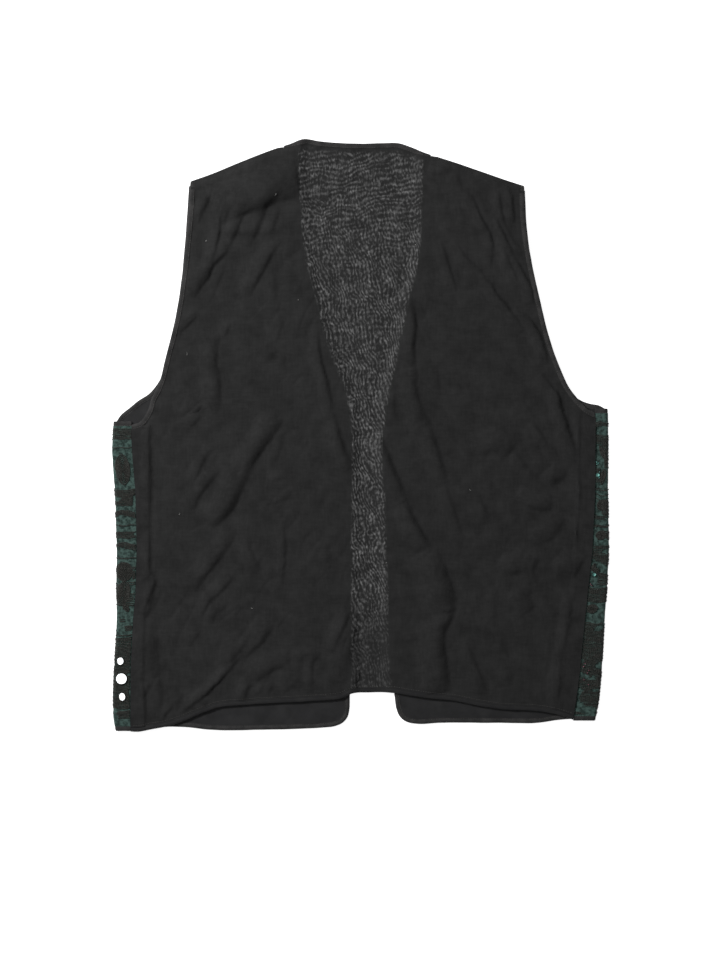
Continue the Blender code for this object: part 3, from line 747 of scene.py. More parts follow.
@dataclass
class Heap:
    """The points and faces of one piece, in millimetres, before they are a mesh."""

    points: list[Points] = field(default_factory=list)
    faces: list[list[int]] = field(default_factory=list)
    count: int = 0

    def add(self, points: Points, faces: np.ndarray | list[list[int]]) -> None:
        """Adds one shape.

        Args:
            points: Its points.
            faces: Its faces, by the numbers of its own points.
        """
        start = self.count
        self.points.append(np.asarray(points, float))
        if isinstance(faces, np.ndarray):
            self.faces += (faces + start).tolist()
        else:
            self.faces += [[k + start for k in face] for face in faces]
        self.count += len(points)

    def add_wall(self, outer: Points, inner: Points, quads: np.ndarray) -> None:
        """Adds a closed wall of cloth.

        Args:
            outer: The points of its outer face.
            inner: The points of its inner face, in the same order.
            quads: The quads that both faces have.
        """
        count = len(outer)
        edges = {(q[k], q[(k + 1) % 4]) for q in quads.tolist() for k in range(4)}
        rim = [(a, b) for a, b in sorted(edges) if (b, a) not in edges]
        faces = quads.tolist() + (quads[:, ::-1] + count).tolist()
        faces += [[b, a, a + count, b + count] for a, b in rim]
        self.add(np.vstack([outer, inner]), faces)

    def add_loft(self, sections: list[Points]) -> None:
        """Adds a solid through sections that all have the same number of points.

        Args:
            sections: The rings of points.
        """
        around, spans = len(sections[0]), len(sections) - 1
        low = np.repeat(np.arange(spans), around) * around
        high = low + around
        n = np.tile(np.arange(around), spans)
        after = (n + 1) % around
        faces = np.column_stack([low + n, low + after, high + after, high + n]).tolist()
        faces.append(list(range(around))[::-1])
        faces.append([spans * around + m for m in range(around)])
        self.add(np.vstack(sections), faces)

    def add_tube(self, path: Points, normals: Points, radii: Points, sides: int = 5) -> None:
        """Adds a round thread with closed ends.

        Args:
            path: The points of its middle.
            normals: At each point, a direction square to the path, such as the cloth's own.
            radii: Its radius at each point.
            sides: How many sides it has.
        """
        along = np.gradient(path, axis=0)
        along /= np.linalg.norm(along, axis=1)[:, None]
        across = np.cross(along, normals)
        across /= np.linalg.norm(across, axis=1)[:, None]
        up = np.cross(across, along)
        round_it = circle(sides)
        self.add_loft([
            point + radius * (round_it[:, :1] * a + round_it[:, 1:] * u)
            for point, radius, a, u in zip(path, radii, across, up)
        ])

    def piece(
        self,
        name: str,
        material: Material,
        slot: str,
        replaces: tuple[str, ...] = (),
        sharp: float = 50.0,
        turn_out: bool = True,
    ) -> Object:
        """Makes the mesh and the object, which rides on the vest's body.

        Args:
            name: The piece's name.
            material: Its finish.
            slot: Not used.
            replaces: The CAD nodes that it stands for.
            sharp: Edges sharper than this many degrees aren't shaded smooth.
            turn_out: True to turn the faces of closed shapes outwards.

        Returns:
            The object.
        """
        mesh = bpy.data.meshes.new(name)
        mesh.from_pydata((np.vstack(self.points) * MM).tolist(), [], self.faces)
        if turn_out:
            bm = bmesh.new()
            bm.from_mesh(mesh)
            bmesh.ops.recalc_face_normals(bm, faces=bm.faces)
            bm.to_mesh(mesh)
            bm.free()
        mesh.shade_smooth()
        mesh.set_sharp_from_angle(angle=math.radians(sharp))
        mesh.materials.append(material)
        obj = bpy.data.objects.new(name, mesh)
        bpy.context.scene.collection.objects.link(obj)
        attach(obj, BODY)
        if replaces:
            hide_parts(*replaces)
        log.info("%s: %d faces", name, len(mesh.polygons))
        return obj


@dataclass
class VestCut:
    """The outlines of the vest's pieces as they lie, and how high its layers lie."""

    seam_gap: float = 0.3
    binding_width: float = 5.5
    tuck: float = 0.5  # the cloth's edges run this far into their bindings
    velvet: float = 1.3
    lining: float = 1.0
    back: float = 1.1  # both layers of the back
    front_binding: float = 2.9
    back_binding: float = 1.6
    roll_radius: float = 3.0  # the outside of the fold at each side
    strip_top: float = 5.0  # the strip's outer face where it meets the seam
    sag_floor: float = 0.3  # the back's underside between the fronts
    sag_start: float = 1.5  # from an opening edge to where it starts to sag
    sag_run: float = 12.0
    front_tuck: float = 4.5  # the fronts' shoulder edges lie this far inside the outline
    shoulder_drop: float = 2.0  # the back's edge is this much lower at the shoulders
    allowance_fade: float = 1.8  # the step at a seam allowance's edge
    allowance_raise: float = 1.1
    shoulder_allowance: float = 11.0
    shoulder_raise: float = 0.5
    neck_taper: float = 22.0  # the neck's binding narrows over this run at its ends
    neck_share: float = 0.8  # share of its width where the shoulder edges meet it
    crowding: float = 1.3  # above 1, stations are closer together at the underarm

    def __post_init__(self) -> None:
        """Works out the lines that the tables give."""
        self.inset = self.binding_width - self.tuck
        self.back_floor = self.front_binding + self.seam_gap
        self.top = table_curve(TOP)
        self.hem = table_curve(HEM)
        self.openings = {side: self.opening_line(side) for side in Side}
        self.shoulders = (
            cut_line(self.top, TOP["x"][0], NECK_ENDS[0]),
            cut_line(self.top, NECK_ENDS[1], TOP["x"][-1]),
        )

    def opening_line(self, side: Side) -> Points:
        """The opening edge of one front, from the back's neck edge down."""
        x = OPENING[side.value]
        neck = (x[0], np.interp(x[0], self.top[:, 0], self.top[:, 1]))
        return curve(np.vstack([neck, np.column_stack([x, OPENING["y"]])]))

    def side_x(self, line: str, side: Side, y: Points) -> Points:
        """Where the fold or the seam of one side crosses these levels."""
        return np.interp(y, SIDES["y"], SIDES[f"{line}_{side.value}"])

    def opening_x(self, side: Side, y: Points) -> Points:
        """Where one front's opening edge crosses these levels."""
        line = self.openings[side][::-1]
        return np.interp(y, line[:, 1], line[:, 0])

    def inside_gap(self, points: Points) -> Points:
        """How far each point is inside the gap between the fronts, below 0 if outside."""
        from_left = points[:, 0] - self.opening_x(Side.LEFT, points[:, 1])
        from_right = self.opening_x(Side.RIGHT, points[:, 1]) - points[:, 0]
        return np.minimum(from_left, from_right)

    def shoulder_distance(self, points: Points) -> Points:
        """From each point to the nearer shoulder edge."""
        return np.minimum(*(distance_to(line, points) for line in self.shoulders))

    def neck_bound(self, x: Points) -> Points:
        """The share of its width that the neck's binding has, from 0 on the shoulders."""
        runs = np.minimum(x - NECK_ENDS[0], NECK_ENDS[1] - x) / self.neck_taper + self.neck_share
        return np.clip(runs, 0.0, 1.0)

    def seam_direction(self, side: Side, level: float) -> Points:
        """The way the side seam runs down from this level."""
        low = level - self.inset
        shift = self.side_x("seam", side, low) - self.side_x("seam", side, level)
        down = np.array((shift, -self.inset))
        return down / np.linalg.norm(down)

    def strip_end(self, side: Side, y: Points) -> Points:
        """Where a side strip ends at the seam."""
        return self.side_x("seam", side, y) - side.sign * self.seam_gap / 2.0

    def back_end(self, side: Side, y: Points) -> Points:
        """Where the back ends at the seam."""
        return self.side_x("seam", side, y) + side.sign * self.seam_gap / 2.0

    def strip_width(self, side: Side, y: Points) -> Points:
        """From the seam to where the strip starts to roll over the side fold."""
        seam = self.strip_end(side, y)
        crest = self.side_x("fold", side, y) + side.sign * self.roll_radius
        return side.sign * (seam - crest)

    def strip_point(self, side: Side, y: Points, across: Points, lift: Points) -> tuple[Points, Points]:
        """Places on the outer face of a side strip, and the face's normals there.

        Args:
            side: Which strip.
            y: The level of each place.
            across: How far each place is from the seam along the face, round the roll too.
            lift: How far each place is off the face.

        Returns:
            The places and the normals.
        """
        width = self.strip_width(side, y)
        seam = self.strip_end(side, y)
        flat = np.minimum(across, width)
        angle = np.maximum(across - width, 0.0) / self.roll_radius
        reach = (self.roll_radius + lift) * np.sin(angle)
        rise = (2.0 * self.roll_radius - self.strip_top) * flat / width
        x = seam - side.sign * (flat + reach)
        z = self.strip_top + rise + lift * np.cos(angle) - self.roll_radius * (1.0 - np.cos(angle))
        normals = np.column_stack([-side.sign * np.sin(angle), np.zeros(len(angle)), np.cos(angle)])
        return np.column_stack([x, y, z]), normals

    def wrap_section(self, side: Side, y: float, thickness: float, steps: int) -> tuple[Points, Points]:
        """Outer and inner points of a front where it rolls over the side fold to its seam.

        Args:
            side: Which front.
            y: The level of the section.
            thickness: The cloth's thickness there.
            steps: How many steps the roll has, and the strip after it.

        Returns:
            The outer points and the inner points, from the floor up.
        """
        fold = self.side_x("fold", side, y)
        seam = self.strip_end(side, y)
        angles = np.linspace(0.0, math.pi, steps + 1)
        x = fold + side.sign * self.roll_radius * (1.0 - np.sin(angles))
        z = self.roll_radius * (1.0 - np.cos(angles))
        inner_x = x + side.sign * thickness * np.sin(angles)
        inner_z = z + thickness * np.cos(angles)
        share = np.linspace(0.0, 1.0, steps + 1)[1:]
        strip_x = x[-1] * (1.0 - share) + seam * share
        strip_z = 2.0 * self.roll_radius * (1.0 - share) + self.strip_top * share
        level = np.full(2 * steps + 1, y)
        outer = np.column_stack([np.append(x, strip_x), level, np.append(z, strip_z)])
        inner = np.column_stack(
            [np.append(inner_x, strip_x), level, np.append(inner_z, strip_z - thickness)]
        )
        return outer, inner


@dataclass
class Drape:
    """How the back lies: over the fronts, down between them, and up along its creases."""

    cut: VestCut
    wave_height: float = 0.45
    wave_length: float = 30.0
    pucker_height: float = 0.2
    pucker_length: float = 9.0
    fade: float = 6.0  # the waves fade out over this width at the shoulder edges
    shoulder_roll: float = 9.0  # the cloth sinks over this width to the shoulder edges
    crease_steps: int = 60
    crease_fade: float = 0.6  # below 1, a crease keeps its height nearly to its ends
    crease_round: float = 1.7  # above 1, it is rounded at the top and steep at its foot
    ragged: float = 0.9  # how far its edges wander
    ragged_length: float = 6.0
    slack: float = 5.0  # the gentle side is this wide, and this share of the band wider
    slack_share: float = 1.6
    lift_limit: float = 18.0  # creases that cross don't stand higher
    crumple_depth: float = 0.4
    crumple_length: float = 16.0
    crumple_width: float = 0.12  # noise within this of 0 is a small crease
    crumple_stretch: float = 2.6  # how many times longer than wide it is
    crumple_turn: float = math.radians(35.0)  # from straight out to the side
    patch_middle: float = 0.4  # small creases come in patches: their middle strength and swing
    patch_swing: float = 1.6
    patch_length: float = 32.0

    def __post_init__(self) -> None:
        """Lays out the line of each crease."""
        ends = [np.column_stack([CREASES[f"x{n}"], CREASES[f"y{n}"]]) for n in range(1, 5)]
        self.lines = [spaced(curve(points), self.crease_steps) for points in np.stack(ends, axis=1)]

    def creases(self, points: Points) -> Points:
        """How far the creases lift the back.

        Args:
            points: Places in the plane.

        Returns:
            The lift at each place.
        """
        lift = np.zeros(len(points))
        fade = np.sin(np.linspace(0.0, math.pi, self.crease_steps + 1)) ** self.crease_fade
        wander = self.ragged * ripple(points, self.ragged_length, SEEDS.crease_edges)
        for line, height, band in zip(self.lines, CREASES["height"], CREASES["band"]):
            slack = self.slack + self.slack_share * band
            low, high = line.min(axis=0) - slack - band, line.max(axis=0) + slack + band
            close = np.flatnonzero(((points > low) & (points < high)).all(axis=1))
            away = points[close, None] - line[None]
            near = np.linalg.norm(away, axis=2).argmin(axis=1)
            along = np.gradient(line, axis=0)[near]
            across = away[np.arange(len(close)), near]
            side = np.sign(along[:, 0] * across[:, 1] - along[:, 1] * across[:, 0])
            out = side * np.linalg.norm(across, axis=1) + wander[close]
            steep = 1.0 - np.clip(out / band + 0.5, 0.0, 1.0) ** self.crease_round
            gentle = (1.0 - np.clip((-out - band / 2.0) / slack, 0.0, 1.0) ** 2) ** 2
            lift[close] += height * fade[near] * steep * gentle
        return self.lift_limit * (1.0 - np.exp(-lift / self.lift_limit))

    def crumple(self, points: Points) -> Points:
        """Small random creases, which run outwards and down as the large ones do.

        Args:
            points: Places in the plane.

        Returns:
            The depth at each place.
        """
        out = np.abs(points[:, 0])
        turn = self.crumple_turn
        places = np.column_stack([
            math.cos(turn) * out + math.sin(turn) * points[:, 1],
            (math.cos(turn) * points[:, 1] - math.sin(turn) * out) / self.crumple_stretch,
        ])
        seed = np.where(points[:, 0] < 0.0, *SEEDS.crumple)
        valley = np.exp(-((ripple(places, self.crumple_length, seed) / self.crumple_width) ** 2))
        spread = ripple(points, self.patch_length, SEEDS.crumple_patches)
        return self.crumple_depth * valley * smooth_step(self.patch_middle + self.patch_swing * spread)

    def floor(self, points: Points) -> Points:
        """The height of the back's underside.

        Args:
            points: Places in the plane.

        Returns:
            The height at each place.
        """
        cut = self.cut
        sag = smooth_step((cut.inside_gap(points) - cut.sag_start) / cut.sag_run)
        level = cut.back_floor + (cut.sag_floor - cut.back_floor) * sag
        from_shoulder = cut.shoulder_distance(points)
        roll = np.clip(1.0 - from_shoulder / self.shoulder_roll, 0.0, 1.0)
        waves = self.wave_height * (1.0 + ripple(points, self.wave_length, SEEDS.waves))
        waves += self.pucker_height * (1.0 + ripple(points, self.pucker_length, SEEDS.puckers))
        waves += self.crumple_depth - self.crumple(points)
        waves *= smooth_step(from_shoulder / self.fade)
        return level + self.creases(points) + waves - cut.shoulder_drop * roll

    def raised(self, points: Points) -> Points:
        """How far the seam allowances raise the back's outer face.

        Args:
            points: Places in the plane.

        Returns:
            The rise at each place.
        """
        cut = self.cut
        x, y = points[:, 0], points[:, 1]
        left = np.interp(y, ALLOWANCE["y"], ALLOWANCE["left"]) - x
        right = x - np.interp(y, ALLOWANCE["y"], ALLOWANCE["right"])
        beside = smooth_step(np.maximum(left, right) / cut.allowance_fade)
        below_arm = smooth_step((BACK_ARMHOLES[Side.LEFT]["y"][0] - y) / cut.allowance_fade)
        from_shoulder = cut.shoulder_distance(points)
        across = smooth_step((cut.shoulder_allowance - from_shoulder) / cut.allowance_fade)
        return cut.allowance_raise * beside * below_arm + cut.shoulder_raise * across

    def top(self, points: Points) -> Points:
        """The height of the back's outer face."""
        return self.floor(points) + self.cut.back + self.raised(points)


def add_node(
    tree: Tree,
    kind: str,
    inputs: dict[str | int, object] | None = None,
    **settings: object,
) -> Node:
    """Adds a node with its settings and links.

    Args:
        tree: The material's node tree.
        kind: The node's type.
        inputs: Values or output sockets for its inputs, by name or number.
        settings: Its own settings.

    Returns:
        The node.
    """
    node = tree.nodes.new(kind)
    for name, value in settings.items():
        setattr(node, name, value)
    for key, value in (inputs or {}).items():
        if isinstance(value, Socket):
            tree.links.new(value, node.inputs[key])
        else:
            node.inputs[key].default_value = value
    return node


def linear(colour: str) -> tuple[float, float, float, float]:
    """An sRGB hex colour as linear red, green, blue and alpha."""
    parts = [int(colour[k : k + 2], 16) / 255.0 for k in (1, 3, 5)]
    turned = [p / 12.92 if p <= 0.04045 else ((p + 0.055) / 1.055) ** 2.4 for p in parts]
    return (*turned, 1.0)


class Relief(Enum):
    """The kinds of fine relief: the ways that their waves run, or none for plain grain."""

    WEAVE = ("X", "Y")
    TWILL = ("DIAGONAL",)
    GRAIN = ()


@dataclass(frozen=True)
class Finish:
    """What every finish has: a colour with clouds of another, a shine, and a fine relief."""

    name: str
    colour: str
    other: str
    cloud: float = 1.4  # the clouds' size
    clouds: tuple[float, float] = (0.35, 0.7)  # noise at which a cloud starts, and is full
    roughness: float = 0.8
    ior: float = 1.5
    gleam: float = 0.2  # specular level: yarns shade each other's gleam
    metallic: float = 0.0
    relief: Relief = Relief.GRAIN
    pitch: float = 0.9  # from one yarn, tuft or turn to the next
    depth: float = 0.1
    strength: float = 0.3
    cloud_detail: float = 4.0
    grain_detail: float = 2.0
    layering: float = 0.6  # how strong each finer layer of noise is
    waver: float = 0.8  # how unevenly the yarns run
    waver_detail: float = 1.0

    def constants(self) -> dict[str, object]:
        """The shader's values that are the same all over."""
        return {
            "Roughness": self.roughness,
            "IOR": self.ior,
            "Specular IOR Level": self.gleam,
            "Metallic": self.metallic,
        }

    def material(self) -> Material:
        """Makes the finish.

        Returns:
            The material.
        """
        material = bpy.data.materials.new(self.name)
        material.use_nodes = True
        tree = material.node_tree
        shader = tree.nodes["Principled BSDF"]
        for name, value in self.constants().items():
            shader.inputs[name].default_value = value
        place = add_node(tree, "ShaderNodeTexCoord").outputs["Object"]
        low, high = self.clouds
        inputs = {0: self.clouding(tree, place), 1: low, 2: high, 3: 0.0, 4: 1.0}
        share = add_node(tree, "ShaderNodeMapRange", inputs)
        inputs = {"Factor": share.outputs[0], 6: linear(self.colour), 7: linear(self.other)}
        colour = add_node(tree, "ShaderNodeMix", inputs, data_type="RGBA")
        tree.links.new(colour.outputs[2], shader.inputs["Base Color"])
        height = self.height(tree, place)
        inputs = {"Strength": self.strength, "Distance": self.depth * MM, "Height": height}
        bump = add_node(tree, "ShaderNodeBump", inputs)
        tree.links.new(bump.outputs[0], shader.inputs["Normal"])
        self.extend(tree, shader, place)
        return material

    def clouding(self, tree: Tree, place: Socket) -> Socket:
        """The noise that the clouds follow."""
        return self.noise(tree, place, (self.cloud,) * 3, self.cloud_detail)

    def height(self, tree: Tree, place: Socket) -> Socket:
        """The height of the fine relief."""
        if self.relief is Relief.GRAIN:
            return self.noise(tree, place, (self.pitch,) * 3, self.grain_detail)
        inputs = {
            "Vector": place,
            "Scale": WAVE / (self.pitch * MM),
            "Distortion": self.waver,
            "Detail": self.waver_detail,
        }
        total = None
        for way in self.relief.value:
            wave = add_node(tree, "ShaderNodeTexWave", inputs, bands_direction=way).outputs["Fac"]
            if total:
                crossed = add_node(tree, "ShaderNodeMath", {0: total, 1: wave}, operation="MULTIPLY")
                wave = crossed.outputs[0]
            total = wave
        return total

    def extend(
        self, tree: Tree, shader: Node, place: Socket
    ) -> None:
        """Adds what only some finishes have."""

    def noise(
        self,
        tree: Tree,
        place: Socket,
        size: tuple[float, float, float],
        detail: float,
    ) -> Socket:
        """Noise of a size in millimetres along each axis.

        Args:
            tree: The material's node tree.
            place: The socket with the object's coordinates.
            size: The size along X, Y and Z.
            detail: How many finer layers it has.

        Returns:
            The socket with the noise.
        """
        scale = tuple(1.0 / (length * MM) for length in size)
        mapped = add_node(tree, "ShaderNodeMapping", {"Vector": place, "Scale": scale}).outputs[0]
        inputs = {"Vector": mapped, "Scale": 1.0, "Detail": detail, "Roughness": self.layering}
        return add_node(tree, "ShaderNodeTexNoise", inputs).outputs[0]


@dataclass(frozen=True)
class Voile(Finish):
    """Black cotton voile, plain woven from fine hard-twisted yarn.

    It is matt, with slubs in both its yarns. The yarns are 0.35 mm apart, drawn 0.9 mm apart so
    that they show. Where nothing dark lies below, light comes up between the yarns of its two
    layers, which cross as a moire of short flecks.
    """

    name: str = "black cotton voile"
    colour: str = "#232323"
    other: str = "#2f2f2f"  # slubs
    cloud: float = 16.0
    clouds: tuple[float, float] = (0.66, 1.14)
    roughness: float = 0.88
    gleam: float = 0.15
    relief: Relief = Relief.WEAVE
    slub: tuple[float, float] = (13.0, 2.2)  # the streaks' length and width
    slub_share: float = 0.4
    strength: float = 0.2
    cloud_detail: float = 5.0
    fringe_width: float = 4.2  # between the moire's upright fringes
    fringe_height: float = 5.6  # between its level fringes
    lean: float = 0.3  # the upright fringes lean to the right
    slope: float = -0.22  # the level fringes rise to the right
    change: tuple[float, float] = (190.0, 260.0)  # where level ones take over, towards the neck
    upright: tuple[float, float] = (0.5, 0.22)  # the upright ones' strength below and above it
    level: tuple[float, float] = (0.2, 0.46)  # the level ones' strength
    bend: tuple[float, float] = (32.0, 30.4)  # how far the fringes are bent, and over what length
    bend_length: float = 34.0
    bend_detail: float = 3.5
    dash: tuple[float, float] = (1.9, 3.8)  # a fleck's width and length
    dash_detail: float = 1.0
    dash_weight: float = 4.4
    patch: float = 12.0  # where the flecks are strong or weak
    patch_weight: float = 2.4
    fleck: tuple[float, float] = (2.6, 5.8)  # the sum at which a fleck starts, and is clearest
    closed: float = 0.02  # how much the cloth lets through between the flecks
    clear: float = 0.56  # how much the clearest fleck lets through

    def clouding(self, tree: Tree, place: Socket) -> Socket:
        """Clouds of bloom with the slubs of both yarns over them."""
        long, thin = self.slub
        total = super().clouding(tree, place)
        for size in ((long, thin, 1.0), (thin, long, 1.0)):
            streaks = self.noise(tree, place, size, self.grain_detail)
            inputs = {0: streaks, 1: self.slub_share, 2: total}
            total = add_node(tree, "ShaderNodeMath", inputs, operation="MULTIPLY_ADD").outputs[0]
        return total

    def extend(
        self, tree: Tree, shader: Node, place: Socket
    ) -> None:
        """Lets light through in flecks, as far as the mesh's "open" attribute says.

        Args:
            tree: The material's node tree.
            shader: Its shader.
            place: The socket with the object's coordinates.
        """
        scale = 1.0 / (self.bend_length * MM)
        inputs = {"Vector": place, "Scale": scale, "Detail": self.bend_detail}
        bend = add_node(tree, "ShaderNodeTexNoise", inputs).outputs["Color"]
        inputs = {0: bend, 1: (self.bend[0] * MM, self.bend[1] * MM, 0.0), 2: place}
        bent = add_node(tree, "ShaderNodeVectorMath", inputs, operation="MULTIPLY_ADD").outputs[0]
        # Level fringes are stronger near the neck, and upright ones below
        up = add_node(tree, "ShaderNodeSeparateXYZ", {0: place}).outputs[1]
        start, end = (level * MM for level in self.change)
        total = 0.0
        for way, length, (below, above) in (
            ((1.0, self.lean, 0.0), self.fringe_width, self.upright),
            ((self.slope, 1.0, 0.0), self.fringe_height, self.level),
        ):
            turned = tuple(2.0 * math.pi / (length * MM) * w for w in way)
            run = add_node(tree, "ShaderNodeVectorMath", {0: bent, 1: turned}, operation="DOT_PRODUCT")
            wave = add_node(tree, "ShaderNodeMath", {0: run.outputs["Value"]}, operation="SINE")
            inputs = {0: up, 1: start, 2: end, 3: below, 4: above}
            weight = add_node(tree, "ShaderNodeMapRange", inputs).outputs[0]
            inputs = {0: wave.outputs[0], 1: weight, 2: total}
            total = add_node(tree, "ShaderNodeMath", inputs, operation="MULTIPLY_ADD").outputs[0]
        for size, detail, share in (
            ((*self.dash, 1.0), self.dash_detail, self.dash_weight),
            ((self.patch,) * 3, self.grain_detail, self.patch_weight),
        ):
            inputs = {0: self.noise(tree, place, size, detail), 1: share, 2: total}
            total = add_node(tree, "ShaderNodeMath", inputs, operation="MULTIPLY_ADD").outputs[0]
        inputs = {0: total, 1: self.fleck[0], 2: self.fleck[1], 3: self.closed, 4: self.clear}
        fleck = add_node(tree, "ShaderNodeMapRange", inputs)
        open_share = add_node(tree, "ShaderNodeAttribute", attribute_name="open").outputs["Fac"]
        inputs = {0: fleck.outputs[0], 1: open_share}
        through = add_node(tree, "ShaderNodeMath", inputs, operation="MULTIPLY").outputs[0]
        solid = add_node(tree, "ShaderNodeMath", {0: 1.0, 1: through}, operation="SUBTRACT")
        tree.links.new(solid.outputs[0], shader.inputs["Alpha"])


@dataclass(frozen=True)
class BiasTape(Finish):
    """Black cotton bias tape, plain woven and folded round the edges.

    It is rubbed a little paler than the voile. Its yarns run across at 45 degrees, 0.3 mm apart,
    and are drawn 0.8 mm apart so that they show.
    """

    name: str = "black cotton bias tape"
    colour: str = "#2a2a2a"
    other: str = "#3d3c3c"  # where it rubs
    cloud: float = 9.0
    relief: Relief = Relief.TWILL
    pitch: float = 0.8


@dataclass(frozen=True)
class Velvet(Finish):
    """Dark green cotton velvet, its pile cut 1 mm long and brushed down.

    The pile scatters light at grazing angles. Tufts of it lie another way in patches, whose sheen
    is painted into the colour as paler clouds. The tufts are 0.4 mm apart.
    """

    name: str = "dark green cut velvet"
    colour: str = "#2a3633"
    # painted sheen over a real change of nap: paler clouds where the pile lies another way
    other: str = "#4b605b"
    cloud: float = 3.4
    clouds: tuple[float, float] = (0.4, 0.62)
    roughness: float = 0.95
    gleam: float = 0.1
    pitch: float = 0.4
    depth: float = 0.2
    strength: float = 0.6
    sheen: float = 0.05
    sheen_roughness: float = 0.35
    sheen_colour: str = "#a9bab4"

    def constants(self) -> dict[str, object]:
        """The shader's values, with the pale edge that the pile gives."""
        return super().constants() | {
            "Sheen Weight": self.sheen,
            "Sheen Roughness": self.sheen_roughness,
            "Sheen Tint": linear(self.sheen_colour),
        }


@dataclass(frozen=True)
class Thread(Finish):
    """Mercerised cotton thread, twisted from two plies.

    Mercerising gives it a soft gleam along its turns, which are 0.9 mm long on the couched cord.
    """

    roughness: float = 0.6
    relief: Relief = Relief.TWILL
    depth: float = 0.15
    strength: float = 0.5


@dataclass(frozen=True)
class Sateen(Finish):
    """Black cotton sateen lining, its floats calendered smooth.

    It gleams a little more than the voile, in a fine twill of lines 0.5 mm apart.
    """

    name: str = "black calendered sateen"
    colour: str = "#222223"
    other: str = "#2c2c2d"
    cloud: float = 16.0
    roughness: float = 0.65
    relief: Relief = Relief.TWILL
    pitch: float = 0.5
    depth: float = 0.08


@dataclass(frozen=True)
class SilveredGlass(Finish):
    """Thin blown glass, silvered behind and cut by hand into small discs.

    The silvering is tarnished in brown clouds 3 mm wide, and the glass is faintly uneven.
    """

    name: str = "blown silvered glass"
    colour: str = "#dfe3e6"
    other: str = "#6f6a5a"
    cloud: float = 3.0
    clouds: tuple[float, float] = (0.48, 0.72)
    roughness: float = 0.12
    gleam: float = 0.5
    metallic: float = 1.0
    pitch: float = 3.0
    depth: float = 0.2
    strength: float = 0.15


@dataclass(frozen=True)
class GlossyTrim(Finish):
    """Moulded glass beads and stamped plastic sequins, glossy, with a little handling haze."""

    cloud: float = 1.5
    roughness: float = 0.25
    gleam: float = 0.5
    strength: float = 0.1


@dataclass(frozen=True)
class LightTable(Finish):
    """The cast opal acrylic top of a light table, matt and lit from below.

    It is even and white, with a fine tooth 2 mm apart that barely shows.
    """

    name: str = "cast opal acrylic"
    colour: str = "#f2f2f2"
    other: str = "#eeeeee"
    roughness: float = 0.9
    gleam: float = 0.5
    pitch: float = 2.0
    depth: float = 0.02
    glow: float = 0.92

    def constants(self) -> dict[str, object]:
        """The shader's values, with the light from below."""
        glow = {"Emission Color": linear(self.colour), "Emission Strength": self.glow}
        return super().constants() | glow


@dataclass
class Topstitch:
    """Rows of lockstitch in black thread."""

    material: Material
    length: float = 2.0
    pitch: float = 2.7
    radius: float = 0.2
    heap: Heap = field(default_factory=Heap)

    def add_row(self, path: Points) -> None:
        """Adds stitches along a path.

        Args:
            path: The points where the thread lies on the cloth.
        """
        count = int(run_along(path)[-1] / self.pitch)
        shares = np.linspace(-0.5, 0.5, 5)
        taper = np.array((0.35, 0.9, 1.0, 0.9, 0.35))
        dip = np.array((-0.7, 0.35, 0.7, 0.35, -0.7))
        for k in range(count):
            middle = (k + 0.5) * self.pitch
            points = at_distances(path, middle + shares * self.length)
            points[:, 2] += dip * self.radius
            up = np.tile((0.0, 0.0, 1.0), (len(points), 1))
            self.heap.add_tube(points, up, self.radius * taper)

    def build(self) -> Object:
        """Makes all the rows as one piece."""
        return self.heap.piece("topstitch", self.material, "black_binding", sharp=THREAD_SHARP)


@dataclass
class Tape:
    """A binding: bias tape folded round an edge, with one row of topstitch."""

    material: Material
    hem_material: Material  # not rubbed, and as dark as the cloth
    step: float = 2.4
    stitch_row: float = 0.8  # share of the width, from the finished edge
    groove: int = 10  # the section's point at the bottom of the stitches' groove
    groove_half: float = 0.07  # share of the width
    pucker: float = 0.07
    pucker_length: float = 6.0
    pucker_from: float = 0.8  # share of the thickness above which the tape puckers
    edge_wander: float = 0.22
    wander_length: float = 15.0

    def profile(self) -> Points:
        """The section, as shares of the width and the thickness."""
        row, half = self.stitch_row, self.groove_half
        return np.array([
            (0.00, 0.50), (0.02, 0.26), (0.08, 0.08), (0.18, 0.00), (0.60, 0.00), (1.00, 0.00),
            (1.00, 0.78), (0.975, 0.93), (0.92, 1.00), (row + half, 1.00), (row, 0.88),
            (row - half, 1.00), (0.50, 1.05), (0.28, 1.04), (0.12, 0.93), (0.03, 0.74),
        ])

    def sections(
        self, edge: Points, normals: Points, widths: Points, thickness: float, floor: Floor, seed: float
    ) -> list[Points]:
        """Sections along an edge, with small puckers between the stitches.

        Args:
            edge: The finished edge.
            normals: At each point, the way from the edge into the cloth.
            widths: The tape's width at each point.
            thickness: Its thickness.
            floor: The height under it.
            seed: What makes its puckers unlike another tape's.

        Returns:
            The rings of points.
        """
        run = run_along(edge)[:, None] * (1.0, 0.0)
        swell = self.pucker * ripple(run, self.pucker_length, seed)[:, None]
        edge_seed = seed + SEEDS.tape_edges
        wander = self.edge_wander * ripple(run, self.wander_length, edge_seed)[:, None]
        across, up = self.profile().T
        reach = np.asarray(widths)[:, None] * across + wander * (1.0 - across)
        plan = edge[:, None] + reach[:, :, None] * normals[:, None]
        height = thickness * up * (1.0 + swell * (up > self.pucker_from))
        level = floor(plan.reshape(-1, 2)).reshape(height.shape)
        return list(np.dstack([plan, level + height]))

    def stitches(self, rings: list[Points], rows: Topstitch) -> None:
        """Sends the bottom of the tape's groove to the topstitch, which lies in it."""
        rows.add_row(np.array([ring[self.groove] for ring in rings]))


